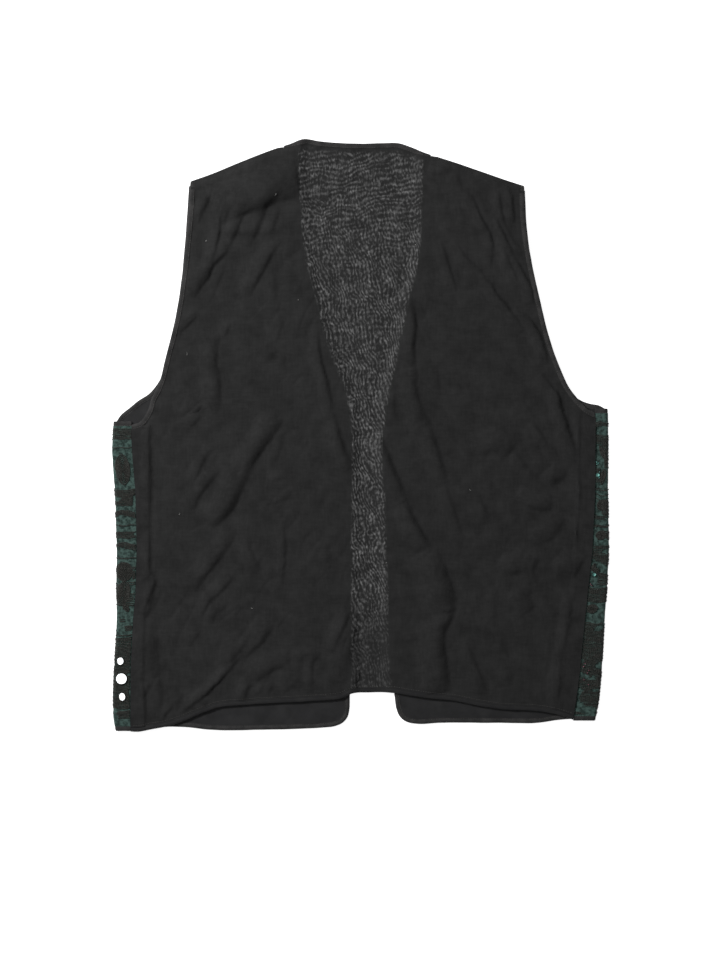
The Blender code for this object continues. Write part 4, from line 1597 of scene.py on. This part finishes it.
@dataclass
class BackPanel:
    """The back: two layers of voile, with the bindings of its hem, neck and armholes."""

    cut: VestCut
    drape: Drape
    columns: int = 268
    seam_rows: int = 176
    armhole_rows: int = 150
    roll_rows: int = 4
    lower_layer: int = 2  # the lower layer has every second row and column
    layer_gap: float = 0.7
    hem_stitches: float = 6.9  # from the finished hem up to its row of stitches
    neck_past: float = 11.0  # the neck's binding runs this far past the neck's ends
    tape_seeds: float = 10.0  # the step from one binding's noise to the next one's
    least_tape: float = 0.25  # it ends where it is narrower than this share of its width
    open_edge: float = 2.0
    neck_allowance: float = 8.5  # no flecks show this close to the neck edge
    fade_top: float = -150.0  # the flecks fade over this run below this level
    fade_run: float = 90.0
    fade_end: float = 0.62  # how open the cloth still is below it

    def side_chain(self, side: Side) -> tuple[Points, Points, Points]:
        """The panel's edge at one side from the hem to the shoulder tip.

        Args:
            side: Which side.

        Returns:
            The panel's edge, the finished edge of the armhole, and the armhole's normals.
        """
        cut = self.cut
        armhole = table_curve(BACK_ARMHOLES[side])
        length = run_along(armhole)[-1]
        stations = length * np.linspace(0.0, 1.0, self.armhole_rows + 1) ** cut.crowding
        edge = at_distances(armhole, stations)
        tip = cut.shoulders[0][:2] if side is Side.LEFT else cut.shoulders[1][-2:][::-1]
        along = (tip[1] - tip[0]) / np.linalg.norm(tip[1] - tip[0])
        down = cut.seam_direction(side, edge[0][1])
        normals = inward(edge, -side.sign, start=down, end=along)
        panel = edge + cut.inset * normals
        hem_end = 0 if side is Side.LEFT else -1
        levels = np.linspace(
            HEM["y"][hem_end] + cut.inset, edge[0][1] - cut.inset, self.seam_rows + 1
        )
        seam = np.column_stack([cut.back_end(side, levels), levels])
        panel[0] = seam[-1]
        edge[0][0] += side.sign * cut.seam_gap / 2.0
        return np.vstack([seam, panel[1:]]), edge, normals

    def hem_edge(self, count: int) -> tuple[Points, Points]:
        """The hem's finished edge and its normals."""
        cut = self.cut
        hem = spaced(cut.hem, count)
        ends = []
        for end, side in ((0, Side.LEFT), (-1, Side.RIGHT)):
            level = HEM["y"][end]
            hem[end] = (cut.back_end(side, level), level)
            ends.append(-cut.seam_direction(side, level + cut.inset))
        return hem, inward(hem, 1.0, start=ends[0], end=ends[1])

    def build(self, voile: Material, tape: Tape, stitches: Topstitch) -> list[Object]:
        """Makes the panel and its bindings.

        Args:
            voile: The cloth's finish.
            tape: The binding.
            stitches: What gathers the rows of topstitch.

        Returns:
            The upper layer, the lower layer, and then the bindings.
        """
        cut = self.cut
        left, left_edge, left_normals = self.side_chain(Side.LEFT)
        right, right_edge, right_normals = self.side_chain(Side.RIGHT)
        hem, hem_normals = self.hem_edge(self.columns)
        top = spaced(cut.top, self.columns)
        top_normals = inward(top, -1.0)
        bottom = hem + cut.inset * hem_normals
        finished = top + cut.inset * cut.neck_bound(top[:, 0])[:, None] * top_normals
        for line, low, high in ((left, 0, 0), (right, -1, -1)):
            bottom[low], finished[high] = line[0], line[-1]
        shares = np.linspace(0.0, 1.0, self.columns + 1)
        grid = patch(left, right, bottom, finished, shares)
        rows, columns = grid.shape[:2]
        plan = grid.reshape(-1, 2)
        outer = np.column_stack([plan, self.drape.top(plan)])
        heap = Heap()
        heap.add(outer, grid_quads(rows, columns))
        upper = heap.piece("back_voile", voile, "black_voile", ("back",), turn_out=False)
        self.mark_open(upper, plan)
        every = self.lower_layer
        picked = [line[::every] for line in (np.arange(rows), np.arange(columns))]
        lower_points = outer.reshape(rows, columns, 3)[np.ix_(*picked)].reshape(-1, 3)
        lower_points = lower_points - (0.0, 0.0, self.layer_gap)
        heap = Heap()
        heap.add(lower_points, grid_quads(len(picked[0]), len(picked[1])))
        lower = heap.piece("back_under_layer", voile, "black_voile", turn_out=False)
        self.mark_open(lower, lower_points[:, :2])
        armholes = ((left_edge, left_normals), (right_edge, right_normals))
        return [upper, lower] + self.bind(armholes, tape, stitches)

    def bind(
        self, armholes: tuple[tuple[Points, Points], ...], tape: Tape, stitches: Topstitch
    ) -> list[Object]:
        """Makes the bindings of the hem, the neck and the armholes.

        Args:
            armholes: The left and the right armhole's finished edge and its normals.
            tape: The binding.
            stitches: What gathers the rows of topstitch.

        Returns:
            The bindings.
        """
        cut, drape = self.cut, self.drape
        ends = (NECK_ENDS[0] - self.neck_past, NECK_ENDS[1] + self.neck_past)
        neck = stepped(cut_line(cut.top, *ends), tape.step)
        neck_share = cut.neck_bound(neck[:, 0])
        keep = neck_share > self.least_tape
        hem, hem_normals = self.hem_edge(round(run_along(cut.hem)[-1] / tape.step))
        edges = {
            "hem": ("hem_binding", hem, hem_normals, np.ones(len(hem))),
            "neck": ("neck_binding", neck[keep], inward(neck, -1.0)[keep], neck_share[keep]),
        }
        for side, (edge, normals) in zip(Side, armholes):
            node = f"armhole_binding_{side.value}"
            edges[f"armhole_{side.value}"] = (node, edge[::2], normals[::2], np.ones(len(edge[::2])))
        made = []
        for n, (name, (node, edge, normals, widths)) in enumerate(edges.items()):
            widths = cut.binding_width * widths
            seed = self.tape_seeds * n
            rings = tape.sections(edge, normals, widths, cut.back_binding, drape.floor, seed)
            heap = Heap()
            heap.add_loft(rings)
            finish = tape.hem_material if name == "hem" else tape.material
            made.append(heap.piece(f"{name}_tape", finish, "black_binding", (node,)))
            if name == "hem":
                plan = edge + self.hem_stitches * normals
                stitches.add_row(np.column_stack([plan, drape.top(plan)])[1:-1])
            else:
                tape.stitches(rings, stitches)
        return made

    def mark_open(self, obj: Object, plan: Points) -> None:
        """Marks where the floor shows through the voile, as the mesh's "open" attribute.

        Args:
            obj: A layer of the back.
            plan: The places of its points in the plane.
        """
        inside = smooth_step(self.cut.inside_gap(plan) / self.open_edge)
        below_neck = np.interp(plan[:, 0], self.cut.top[:, 0], self.cut.top[:, 1]) - plan[:, 1]
        inside *= smooth_step((below_neck - self.neck_allowance) / self.open_edge)
        fade = smooth_step((plan[:, 1] - self.fade_top + self.fade_run) / self.fade_run)
        attribute = obj.data.attributes.new("open", "FLOAT", "POINT")
        attribute.data.foreach_set("value", inside * (self.fade_end + (1.0 - self.fade_end) * fade))


@dataclass
class Front:
    """One front: velvet that wraps the side fold, its lining and its bindings."""

    cut: VestCut
    side: Side
    columns: int = 40
    corner: tuple[float, ...] = (0.0, 2.0, 4.5, 7.0, 10.0, 14.0)  # stations past the corner
    corner_row: int = 2  # the corner's own row in the table of the lower edge
    seam_rows: int = 110
    armhole_rows: int = 60
    wrap_steps: int = 12
    lump_height: float = 0.35
    lump_length: float = 7.0
    lump_reach: float = 6.0  # across the fold
    lining_wave: float = 0.5
    lining_band: float = 13.0  # the waves run up and down, this far apart
    lining_stretch: tuple[float, float] = (1.0, 0.2)  # and are five times as long

    def build(
        self,
        velvet: Material,
        lining: Material,
        tape: Tape,
        stitches: Topstitch,
    ) -> list[Object]:
        """Makes the front with its lining and bindings.

        Args:
            velvet: The velvet's finish.
            lining: The lining's finish.
            tape: The binding.
            stitches: What gathers the rows of topstitch.

        Returns:
            The velvet, the lining, and then the bindings.
        """
        cut, side, sign = self.cut, self.side, self.side.sign
        lower = table_curve(CORNERS[side])
        full = np.vstack([cut.openings[side][:-1], lower])
        middle = len(cut.openings[side]) - 1 + self.corner_row * CURVE_STEPS
        opening, hem = full[middle::-1], full[middle:]
        armhole = table_curve(FRONT_ARMHOLES[side])
        underarm, hem_level = armhole[0][1], hem[-1][1]
        tangent = sign * cut.roll_radius  # from the fold to where the roll leaves the floor

        below = cut_line(opening, opening[0][1], underarm, axis=1)
        above = cut_line(opening, underarm, opening[-1][1] - cut.front_tuck, axis=1)
        steps = self.past_corner(run_along(below)[-1], self.seam_rows)
        upward = np.vstack([at_distances(below, steps), spaced(above, self.armhole_rows)[1:]])
        outward = at_distances(hem, self.past_corner(run_along(hem)[-1], self.columns))
        outward[-1] = (cut.side_x("fold", side, hem_level) + tangent, hem_level)

        edge = np.vstack([upward[::-1], outward[1:]])
        shoulder = cut_line(cut.top, *sorted((edge[0][0], armhole[-1][0])))
        along = sign * (shoulder[0] - shoulder[-1])
        along /= np.linalg.norm(along)
        normals = inward(edge, -sign, start=along, end=(0.0, 1.0))
        inset_edge = edge + cut.inset * normals
        corner_at = len(upward) - 1
        inner_chain, hem_chain = inset_edge[corner_at::-1], inset_edge[corner_at:]

        stations = np.linspace(0.0, 1.0, self.armhole_rows + 1) ** cut.crowding
        arm = at_distances(armhole, run_along(armhole)[-1] * stations)
        arm[0][0] = cut.side_x("fold", side, underarm) + tangent
        arm_normals = inward(arm, -sign, start=(0.0, -1.0), end=-along)
        count = len(upward) - self.armhole_rows
        levels = np.linspace(hem_chain[-1][1], underarm - cut.inset, count)
        side_chain = np.column_stack([cut.side_x("fold", side, levels) + tangent, levels])
        side_chain = np.vstack([side_chain, (arm + cut.inset * arm_normals)[1:]])
        top = spaced(shoulder, len(hem_chain) - 1)[:: int(-sign)] - np.array((0.0, cut.front_tuck))
        top[0], top[-1] = inner_chain[-1], side_chain[-1]
        share = run_along(hem_chain) / run_along(hem_chain)[-1]
        body = patch(inner_chain, side_chain, hem_chain, top, share)
        made = [self.build_velvet(body, levels, velvet), self.build_lining(body, lining)]

        full_edge = stepped(edge, tape.step)
        full_normals = inward(full_edge, -sign, start=along, end=(0.0, 1.0))
        full_arm = stepped(arm, tape.step)
        full_arm_normals = inward(full_arm, -sign, start=(0.0, -1.0), end=-along)
        for name, line, line_normals, level, into in (
            ("front_edge", full_edge, full_normals, hem_level, 1.0),
            ("front_armhole", full_arm[::-1], full_arm_normals[::-1], underarm, -1.0),
        ):
            widths = np.full(len(line), cut.binding_width)
            rings = tape.sections(line, line_normals, widths, cut.front_binding, on_floor, level)
            rings += self.wrap_rings(tape, level, into)[1:]
            heap = Heap()
            heap.add_loft(rings)
            node, tape_name = (f"{name}_{kind}_{side.value}" for kind in ("binding", "tape"))
            made.append(heap.piece(tape_name, tape.material, "black_binding", (node,)))
            tape.stitches(rings, stitches)
        return made

    def past_corner(self, length: float, count: int) -> Points:
        """Distances along an edge: close ones round the corner, then even ones."""
        return np.concatenate([self.corner[:-1], np.linspace(self.corner[-1], length, count)])

    def wrap_rings(self, tape: Tape, level: float, into: float) -> list[Points]:
        """Rings of a binding that follows the roll and the strip at one level.

        Args:
            tape: The binding.
            level: The level of its finished edge.
            into: 1 if the cloth lies above that level, or -1 if it lies below.

        Returns:
            The rings, from the floor up and over to the seam.
        """
        cut = self.cut
        edge = cut.wrap_section(self.side, level, cut.velvet, self.wrap_steps)
        inner_level = level + into * cut.binding_width
        beside = cut.wrap_section(self.side, inner_level, cut.velvet, self.wrap_steps)
        shape = tape.profile()
        # On the strip the tape shows its outer face, which is the underside of the section here
        shape = np.column_stack([shape[:, 0], 1.0 - shape[:, 1]])
        rings = []
        for edge_out, edge_in, out, inside in zip(*edge, *beside):
            across, lift = shape[:, :1], shape[:, 1:]
            outer = (1.0 - across) * edge_out + across * out
            inner = (1.0 - across) * edge_in + across * inside
            rings.append((1.0 - lift) * outer + lift * inner)
        return rings

    def build_velvet(self, body: Points, levels: Points, velvet: Material) -> Object:
        """The velvet, flat on the floor and rolled over the side fold to its seam.

        Args:
            body: The rows of the flat part.
            levels: The levels of its rows below the underarm.
            velvet: Its finish.

        Returns:
            The piece.
        """
        cut = self.cut
        rows, columns = body.shape[:2]
        plan = body.reshape(-1, 2)
        flat = np.zeros((len(plan), 1))
        outer, inner = [np.hstack([plan, flat])], [np.hstack([plan, flat + cut.velvet])]
        quads = grid_quads(rows, columns).tolist()
        wrap_columns = 2 * self.wrap_steps
        start = len(plan)
        for level in levels:
            outside, inside = cut.wrap_section(self.side, level, cut.velvet, self.wrap_steps)
            outer.append(outside[1:])
            inner.append(inside[1:])
        for j in range(len(levels) - 1):
            low = [j * columns + columns - 1]
            low += [start + j * wrap_columns + k for k in range(wrap_columns)]
            high = [(j + 1) * columns + columns - 1]
            high += [start + (j + 1) * wrap_columns + k for k in range(wrap_columns)]
            quads += [[low[k], low[k + 1], high[k + 1], high[k]] for k in range(wrap_columns)]
        outer, inner = np.vstack(outer), np.vstack(inner)
        # The stitched velvet is lumpy where it wraps, least at the seam and on the floor
        wrapped = np.arange(len(outer)) >= start
        round_fold = np.abs(outer[:, 0] - cut.side_x("fold", self.side, outer[:, 1]))
        weight = wrapped * smooth_step(outer[:, 2] / cut.roll_radius)
        weight *= np.exp(-((round_fold / self.lump_reach) ** 2))
        along = outer[:, 1:2] * (1.0, 0.0)
        lump = self.lump_height * ripple(along, self.lump_length, SEEDS.velvet_lumps)
        outer[:, 0] -= self.side.sign * weight * (lump + self.lump_height / 2.0)
        heap = Heap()
        heap.add_wall(outer, inner, np.array(quads))
        name = f"front_{self.side.value}"
        return heap.piece(f"{name}_velvet", velvet, "green_velvet", (name,))

    def build_lining(self, body: Points, lining: Material) -> Object:
        """The lining, on the inner face of the velvet."""
        cut = self.cut
        rows, columns = body.shape[:2]
        plan = body.reshape(-1, 2)
        low = cut.velvet + cut.seam_gap
        places = plan * self.lining_stretch
        waves = self.lining_wave * ripple(places, self.lining_band, SEEDS.lining_waves)
        inner = np.column_stack([plan, np.full(len(plan), low)])
        outer = np.column_stack([plan, low + cut.lining + waves])
        heap = Heap()
        heap.add_wall(outer, inner, grid_quads(rows, columns))
        name = f"front_lining_{self.side.value}"
        return heap.piece(f"{name}_sateen", lining, "black_lining", (name,))


def on_floor(plan: Points) -> Points:
    """The floor under the fronts."""
    return np.zeros(len(plan))


@dataclass
class CouchedWork:
    """The black cords sewn on one side strip, in rows and in spirals."""

    cut: VestCut
    side: Side
    pitch: float = 1.45  # between a spiral's turns
    slimming: float = 0.2  # long spirals have this much more turns for their length
    step: float = 0.55
    sink: float = 0.45  # share of a cord's radius that it stands off the velvet
    wander: float = 1.1
    wander_length: float = 6.0
    gap_length: float = 7.0  # from one gap in the rows to the next, about
    shortest: int = 5  # points in the shortest length of cord
    gap_stretch: tuple[float, float] = (0.5, 1.0)  # gaps are twice as long across the strip
    furthest: float = 2.2  # radians round the roll
    end_taper: float = 0.4  # share of a cord's radius at its ends
    knotted: int = 3  # one row in this many is of knots
    spiral_end: float = 0.96  # share of a spiral's size by which its turns shrink
    pinch_power: int = 3  # how close to its ends a leaf narrows
    heap: Heap = field(default_factory=Heap)

    def limit(self, y: Points) -> Points:
        """How far across the strip, and round its roll, cords go."""
        return self.cut.strip_width(self.side, y) + self.furthest * self.cut.roll_radius

    def lay(self, y: Points, across: Points, stitch: Stitch) -> None:
        """Lays a cord on the strip.

        Args:
            y: The level of each point of the cord.
            across: Its distance from the seam.
            stitch: How the cord is laid.
        """
        radius, lumps, lump_length = stitch.value
        across = np.clip(across, radius, self.limit(y))
        run = run_along(np.column_stack([across, y]))
        radii = radius * (1.0 + lumps * np.sin(2.0 * math.pi * run / lump_length))
        radii[[0, -1]] = self.end_taper * radius
        path, normals = self.cut.strip_point(self.side, y, across, self.sink * radii)
        self.heap.add_tube(path, normals, radii)

    def rows(self, table: Table) -> None:
        """Lays rows of cord across the strip.

        Args:
            table: The rows' levels and ends, and how they bow.
        """
        for k in range(len(table["top"])):
            names = ("top", "bottom", "from", "to", "bow", "pitch", "laid")
            top, bottom, start, end, bow, pitch, laid = (table[n][k] for n in names)
            count = max(1, round((top - bottom) / pitch))
            for n in range(count):
                level = top - (n + 0.5) * (top - bottom) / count
                stop = min(end, self.limit(level))
                across = np.arange(start, stop, self.step)
                share = (across - start) / (stop - start)
                places = np.column_stack([across, np.full(len(across), level)])
                wobble = self.wander * ripple(places, self.wander_length, SEEDS.cord_wobble)
                y = level + wobble - bow * 4.0 * share * (1.0 - share)
                stretched = places * self.gap_stretch
                covered = ripple(stretched, self.gap_length, SEEDS.cord_gaps) < laid
                stitch = Stitch.KNOTS if n % self.knotted == 1 else Stitch.CORD
                breaks = np.flatnonzero(np.diff(covered)) + 1
                for part in np.split(np.arange(len(across)), breaks):
                    if covered[part[0]] and len(part) >= self.shortest:
                        self.lay(y[part], across[part], stitch)

    def rounds(self, table: Table) -> None:
        """Lays spirals of cord.

        Args:
            table: The spirals' centres, sizes and shapes.
        """
        for k in range(len(table["y"])):
            names = ("y", "across", "half_length", "half_width", "lean", "sharp")
            y, across, long, wide, lean, sharp = (table[n][k] for n in names)
            turns = max(1.0, (wide + self.slimming * long) / self.pitch)
            steps = int(turns * math.pi * (long + wide) / self.step)
            angle = np.linspace(0.0, 2.0 * math.pi * turns, steps)
            size = 1.0 - angle / angle[-1] * self.spiral_end
            pinch = 1.0 - sharp * np.abs(np.sin(angle)) ** self.pinch_power
            along = long * size * np.sin(angle)
            aside = wide * size * np.cos(angle) * pinch
            turn = math.radians(lean)
            self.lay(
                y + along * math.cos(turn) - aside * math.sin(turn),
                across + along * math.sin(turn) + aside * math.cos(turn),
                Stitch.KNOTS,
            )

    def build(self, thread: Material) -> Object:
        """Makes the strip's cords as one piece.

        Args:
            thread: Their finish.

        Returns:
            The piece.
        """
        self.rows(ROWS[self.side])
        self.rounds(ROUNDS[self.side])
        name = f"couched_cords_{self.side.value}"
        return self.heap.piece(name, thread, "green_velvet", sharp=THREAD_SHARP)


@dataclass
class Mirrors:
    """The three round mirrors on the left strip, each held by a ring of buttonhole stitch."""

    names: tuple[str, ...] = ("mirror_1", "mirror_2", "mirror_3")
    tilts: tuple[tuple[float, float], ...] = ((-3.0, -3.0), (-2.5, -3.6), (-3.6, -2.5))
    ovals: tuple[float, ...] = (0.84, 1.0, 0.82)
    sides: int = 48
    bevel: float = 0.3
    glass: float = 0.9
    wander: float = 0.04
    wander_length: float = 0.5  # of the mirror's radius
    ring_radius: float = 0.5
    ring_out: float = 0.7  # share of the ring's radius that it lies past the glass
    ring_up: float = 0.6  # share of the glass's thickness
    ring_sides: int = 8
    loops: int = 26
    loop_points: int = 6
    loop_reach: tuple[float, float] = (-0.9, 1.6)  # from the glass's edge, in radii of the ring
    loop_up: float = 0.75  # share of the glass's thickness
    loop_start: float = 0.15  # share of its arc at which a loop leaves the glass
    loop_rise: float = 0.35
    loop_radius: float = 0.2

    def build(self, glass: Material, thread: Material) -> list[Object]:
        """Makes the mirrors and their rings.

        Args:
            glass: The mirrors' finish.
            thread: The rings' finish.

        Returns:
            The mirrors, and then the rings as one piece.
        """
        made, rings = [], Heap()
        for k, name in enumerate(self.names):
            low, high = (np.array(corner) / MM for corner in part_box(name))
            centre, radius = (low + high) / 2.0, (high[0] - low[0]) / 2.0
            edge = circle(self.sides)
            uneven = 1.0 + self.wander * ripple(edge, self.wander_length, SEEDS.mirror_edges + k)
            outline = radius * edge * uneven[:, None] * (self.ovals[k], 1.0)
            sections = []
            for inset, up in ((self.bevel, 0.0), (0.0, 0.3), (0.0, 0.7), (self.bevel, 1.0)):
                ring = outline * (1.0 - inset / radius)
                sections.append(self.tilted(ring, up * self.glass, centre, low[2], k))
            heap = Heap()
            heap.add_loft(sections)
            made.append(heap.piece(f"{name}_glass", glass, "mirror_glass", (name,), sharp=30.0))
            self.add_ring(rings, outline, centre, low[2], k)
        made.append(rings.piece("mirror_rings", thread, "green_velvet", sharp=THREAD_SHARP))
        return made

    def tilted(self, ring: Points, up: float, centre: Points, floor: float, k: int) -> Points:
        """A ring of points on one mirror, tilted as the mirror lies.

        Args:
            ring: The points round the mirror's middle.
            up: Their height above its back.
            centre: The mirror's middle.
            floor: The lowest point of the mirror's solid.
            k: Which mirror.

        Returns:
            The points in space.
        """
        lean = np.tan(np.radians(self.tilts[k]))
        z = floor + up + ring @ lean + np.abs(lean).max() * np.abs(ring).max()
        return np.column_stack([centre[:2] + ring, z])

    def add_ring(self, heap: Heap, outline: Points, centre: Points, floor: float, k: int) -> None:
        """Adds the thread that holds one mirror: a ring, and the loops that cross its edge.

        Args:
            heap: What gathers the thread.
            outline: The mirror's edge.
            centre: Its middle.
            floor: The lowest point of its solid.
            k: Which mirror.
        """
        closed = np.vstack([outline, outline[:1]])
        reach = 1.0 + self.ring_radius * self.ring_out / np.abs(outline).max()
        middle = self.tilted(closed * reach, self.glass * self.ring_up, centre, floor, k)
        up = np.tile((0.0, 0.0, 1.0), (len(middle), 1))
        radii = np.full(len(middle), self.ring_radius)
        heap.add_tube(middle, up, radii, sides=self.ring_sides)
        count = self.loop_points
        shares = np.linspace(*self.loop_reach, count)
        rise = self.loop_rise * np.sin(np.linspace(self.loop_start, 1.0, count) * math.pi)
        for station in np.linspace(0.0, len(outline), self.loops, endpoint=False).astype(int):
            point = outline[station]
            outwards = point / np.linalg.norm(point)
            flat = point + outwards * shares[:, None] * self.ring_radius
            loop = self.tilted(flat, self.glass * self.loop_up, centre, floor, k)
            loop[:, 2] += rise
            aside = np.tile((-outwards[1], outwards[0], 0.0), (count, 1))
            heap.add_tube(loop, aside, np.full(count, self.loop_radius))


@dataclass
class BeadWork:
    """Sequins and small glass beads on the right strip."""

    cut: VestCut
    thickness: float = 0.25
    hole: float = 0.22  # share of a sequin's width
    cup: float = 0.25  # a sequin's rim stands this much higher than its middle
    bead_hole: float = 0.12  # radians from a bead's ends to its holes
    around: int = 20
    rings: int = 8
    lift: float = 1.0  # they lie on the cords
    maroon_below: float = -160.0

    def build(self, sequin: Material, beads: dict[str, Material]) -> list[Object]:
        """Makes the sequins and the beads.

        Args:
            sequin: The sequins' finish.
            beads: The beads' finishes, by colour.

        Returns:
            The pieces.
        """
        heap = Heap()
        edge = np.column_stack([circle(self.around), np.zeros(self.around)])
        for centre, diameter in self.places(SEQUINS):
            radius = diameter / 2.0
            cup = self.cup
            shape = ((self.hole, cup), (self.hole, 0.0), (1.0, cup), (1.0, 2.0 * cup))
            sections = []
            for reach, up in shape:
                sections.append(centre + radius * reach * edge + (0.0, 0.0, up + self.thickness))
            heap.add_loft(sections + sections[:1])
        made = [heap.piece("sequins", sequin, "green_velvet", sharp=40.0)]
        heaps = {name: Heap() for name in beads}
        for centre, diameter in self.places(BEADS):
            colour = "maroon" if centre[1] < self.maroon_below else "teal"
            turns = np.linspace(self.bead_hole, math.pi - self.bead_hole, self.rings)
            heaps[colour].add_loft([
                centre + diameter / 2.0 * (math.sin(t) * edge + (0.0, 0.0, 1.0 - math.cos(t)))
                for t in turns
            ])
        for name, finish in beads.items():
            made.append(heaps[name].piece(f"beads_{name}", finish, "green_velvet", sharp=THREAD_SHARP))
        return made

    def places(self, table: Table) -> list[tuple[Points, float]]:
        """Where the things of a table lie on the right strip, with their diameters."""
        lift = np.full(len(table["y"]), self.lift)
        centres = self.cut.strip_point(Side.RIGHT, table["y"], table["across"], lift)[0]
        return list(zip(centres, table["diameter"]))


@dataclass
class Lint:
    """A few pale specks and loose fibres that lie on the back."""

    drape: Drape
    radius: float = 0.22
    curl: float = 0.35
    curl_middle: float = 0.1  # keeps the curl's middle near its place
    taper: float = 1.8  # above 2, the fibres would be pointed
    taper_power: int = 4
    points: int = 7

    def build(self, fibre: Material) -> Object:
        """Makes the specks as one piece."""
        heap = Heap()
        share = np.linspace(-0.5, 0.5, self.points)
        for k in range(len(LINT["x"])):
            lies = math.radians(LINT["lies"][k])
            length = LINT["length"][k]
            aside = self.curl * length * (share**2 - self.curl_middle)
            x = LINT["x"][k] + length * share * math.cos(lies) - aside * math.sin(lies)
            y = LINT["y"][k] + length * share * math.sin(lies) + aside * math.cos(lies)
            plan = np.column_stack([x, y])
            z = self.drape.top(plan) + self.radius
            up = np.tile((0.0, 0.0, 1.0), (self.points, 1))
            radii = self.radius * (1.0 - (self.taper * share) ** self.taper_power)
            heap.add_tube(np.column_stack([plan, z]), up, radii)
        return heap.piece("lint", fibre, "black_voile", sharp=THREAD_SHARP)


@dataclass
class Studio:
    """The floor, the lights and the camera."""

    photo_width: int = 720
    photo_height: int = 960
    scale: float = 1.1  # millimetres in a pixel of the photograph
    vest_centre: tuple[float, float] = (361.0, 435.5)  # the vest's origin in the photograph
    camera_height: float = 3000.0
    cloth_level: float = 4.5
    sensor: float = 36.0
    floor_radius: float = 6000.0
    floor_sides: int = 64
    room: str = "#fbfbfb"
    sky: float = 0.12
    # Each soft box's name, its place and size in metres, and its watts
    boxes: tuple[tuple[str, tuple[float, float, float], float, float], ...] = (
        ("left soft box", (-1.6, 1.0, 1.47), 0.5, 53.0),
        ("top soft box", (0.0, 0.0, 3.4), 1.2, 14.0),
    )

    def build(self) -> None:
        """Sets up the view and the light."""
        self.add_floor()
        self.add_lights()
        self.add_camera()
        bpy.context.scene.view_settings.view_transform = "Standard"

    def add_floor(self) -> None:
        """The light table under the vest."""
        bm = bmesh.new()
        radius = self.floor_radius * MM
        bmesh.ops.create_circle(bm, cap_ends=True, segments=self.floor_sides, radius=radius)
        mesh = bpy.data.meshes.new("floor")
        bm.to_mesh(mesh)
        bm.free()
        mesh.materials.append(LightTable().material())
        floor = bpy.data.objects.new("floor", mesh)
        bpy.context.scene.collection.objects.link(floor)

    def add_lights(self) -> None:
        """A soft box at the left, a wide one above the camera, and a dim pale room."""
        scene = bpy.context.scene
        world = bpy.data.worlds.new("pale room")
        world.use_nodes = True
        shade = world.node_tree.nodes["Background"]
        shade.inputs["Color"].default_value = linear(self.room)
        shade.inputs["Strength"].default_value = self.sky
        scene.world = world
        for name, place, size, watts in self.boxes:
            light = bpy.data.lights.new(name, "AREA")
            light.shape = "SQUARE"
            light.size = size
            light.energy = watts
            lamp = bpy.data.objects.new(name, light)
            lamp.location = place
            lamp.rotation_euler = (-Vector(place)).to_track_quat("-Z", "Y").to_euler()
            scene.collection.objects.link(lamp)

    def add_camera(self) -> None:
        """A camera straight above, which frames the vest as the photograph does."""
        data = bpy.data.cameras.new("camera")
        data.sensor_width = self.sensor
        data.lens = self.sensor * self.camera_height / (self.photo_height * self.scale)
        camera = bpy.data.objects.new("camera", data)
        camera.location = Vector((
            (self.photo_width / 2.0 - self.vest_centre[0]) * self.scale * MM,
            (self.vest_centre[1] - self.photo_height / 2.0) * self.scale * MM,
            (self.camera_height + self.cloth_level) * MM,
        ))
        bpy.context.scene.collection.objects.link(camera)
        bpy.context.scene.camera = camera


def main() -> None:
    """Builds the vest's pieces in order, and the studio."""
    logging.basicConfig(level=logging.INFO, format="%(message)s")
    cut = VestCut()
    drape = Drape(cut)
    unworn = BiasTape("unworn cotton bias tape", "#232324", "#2b2b2b")
    tape = Tape(BiasTape().material(), unworn.material())
    black = Thread("black mercerised cord", "#252624", "#444440").material()
    sewing = Thread("mercerised sewing thread", "#444342", "#605e5c", pitch=0.5)
    stitches = Topstitch(sewing.material())
    back = BackPanel(cut, drape).build(Voile().material(), tape, stitches)
    velvet, lining = Velvet().material(), Sateen().material()
    fronts = {}
    for side in Side:
        fronts[side] = Front(cut, side).build(velvet, lining, tape, stitches)
        fronts[side].append(CouchedWork(cut, side).build(black))
    fronts[Side.LEFT] += Mirrors().build(SilveredGlass().material(), black)
    fronts[Side.RIGHT] += BeadWork(cut).build(
        GlossyTrim("stamped teal sequin", "#3f7a72", "#7fb0a8", metallic=0.6).material(),
        {
            "teal": GlossyTrim("moulded teal glass", "#4b8f88", "#8cc0b8").material(),
            "maroon": GlossyTrim("moulded maroon glass", "#6b2f40", "#a0707c").material(),
        },
    )
    lint = Lint(drape).build(Thread("loose cotton lint", "#8a8a88", "#b4b4b0").material())
    stitches.build()
    Studio().build()


if __name__ == "__main__":
    main()
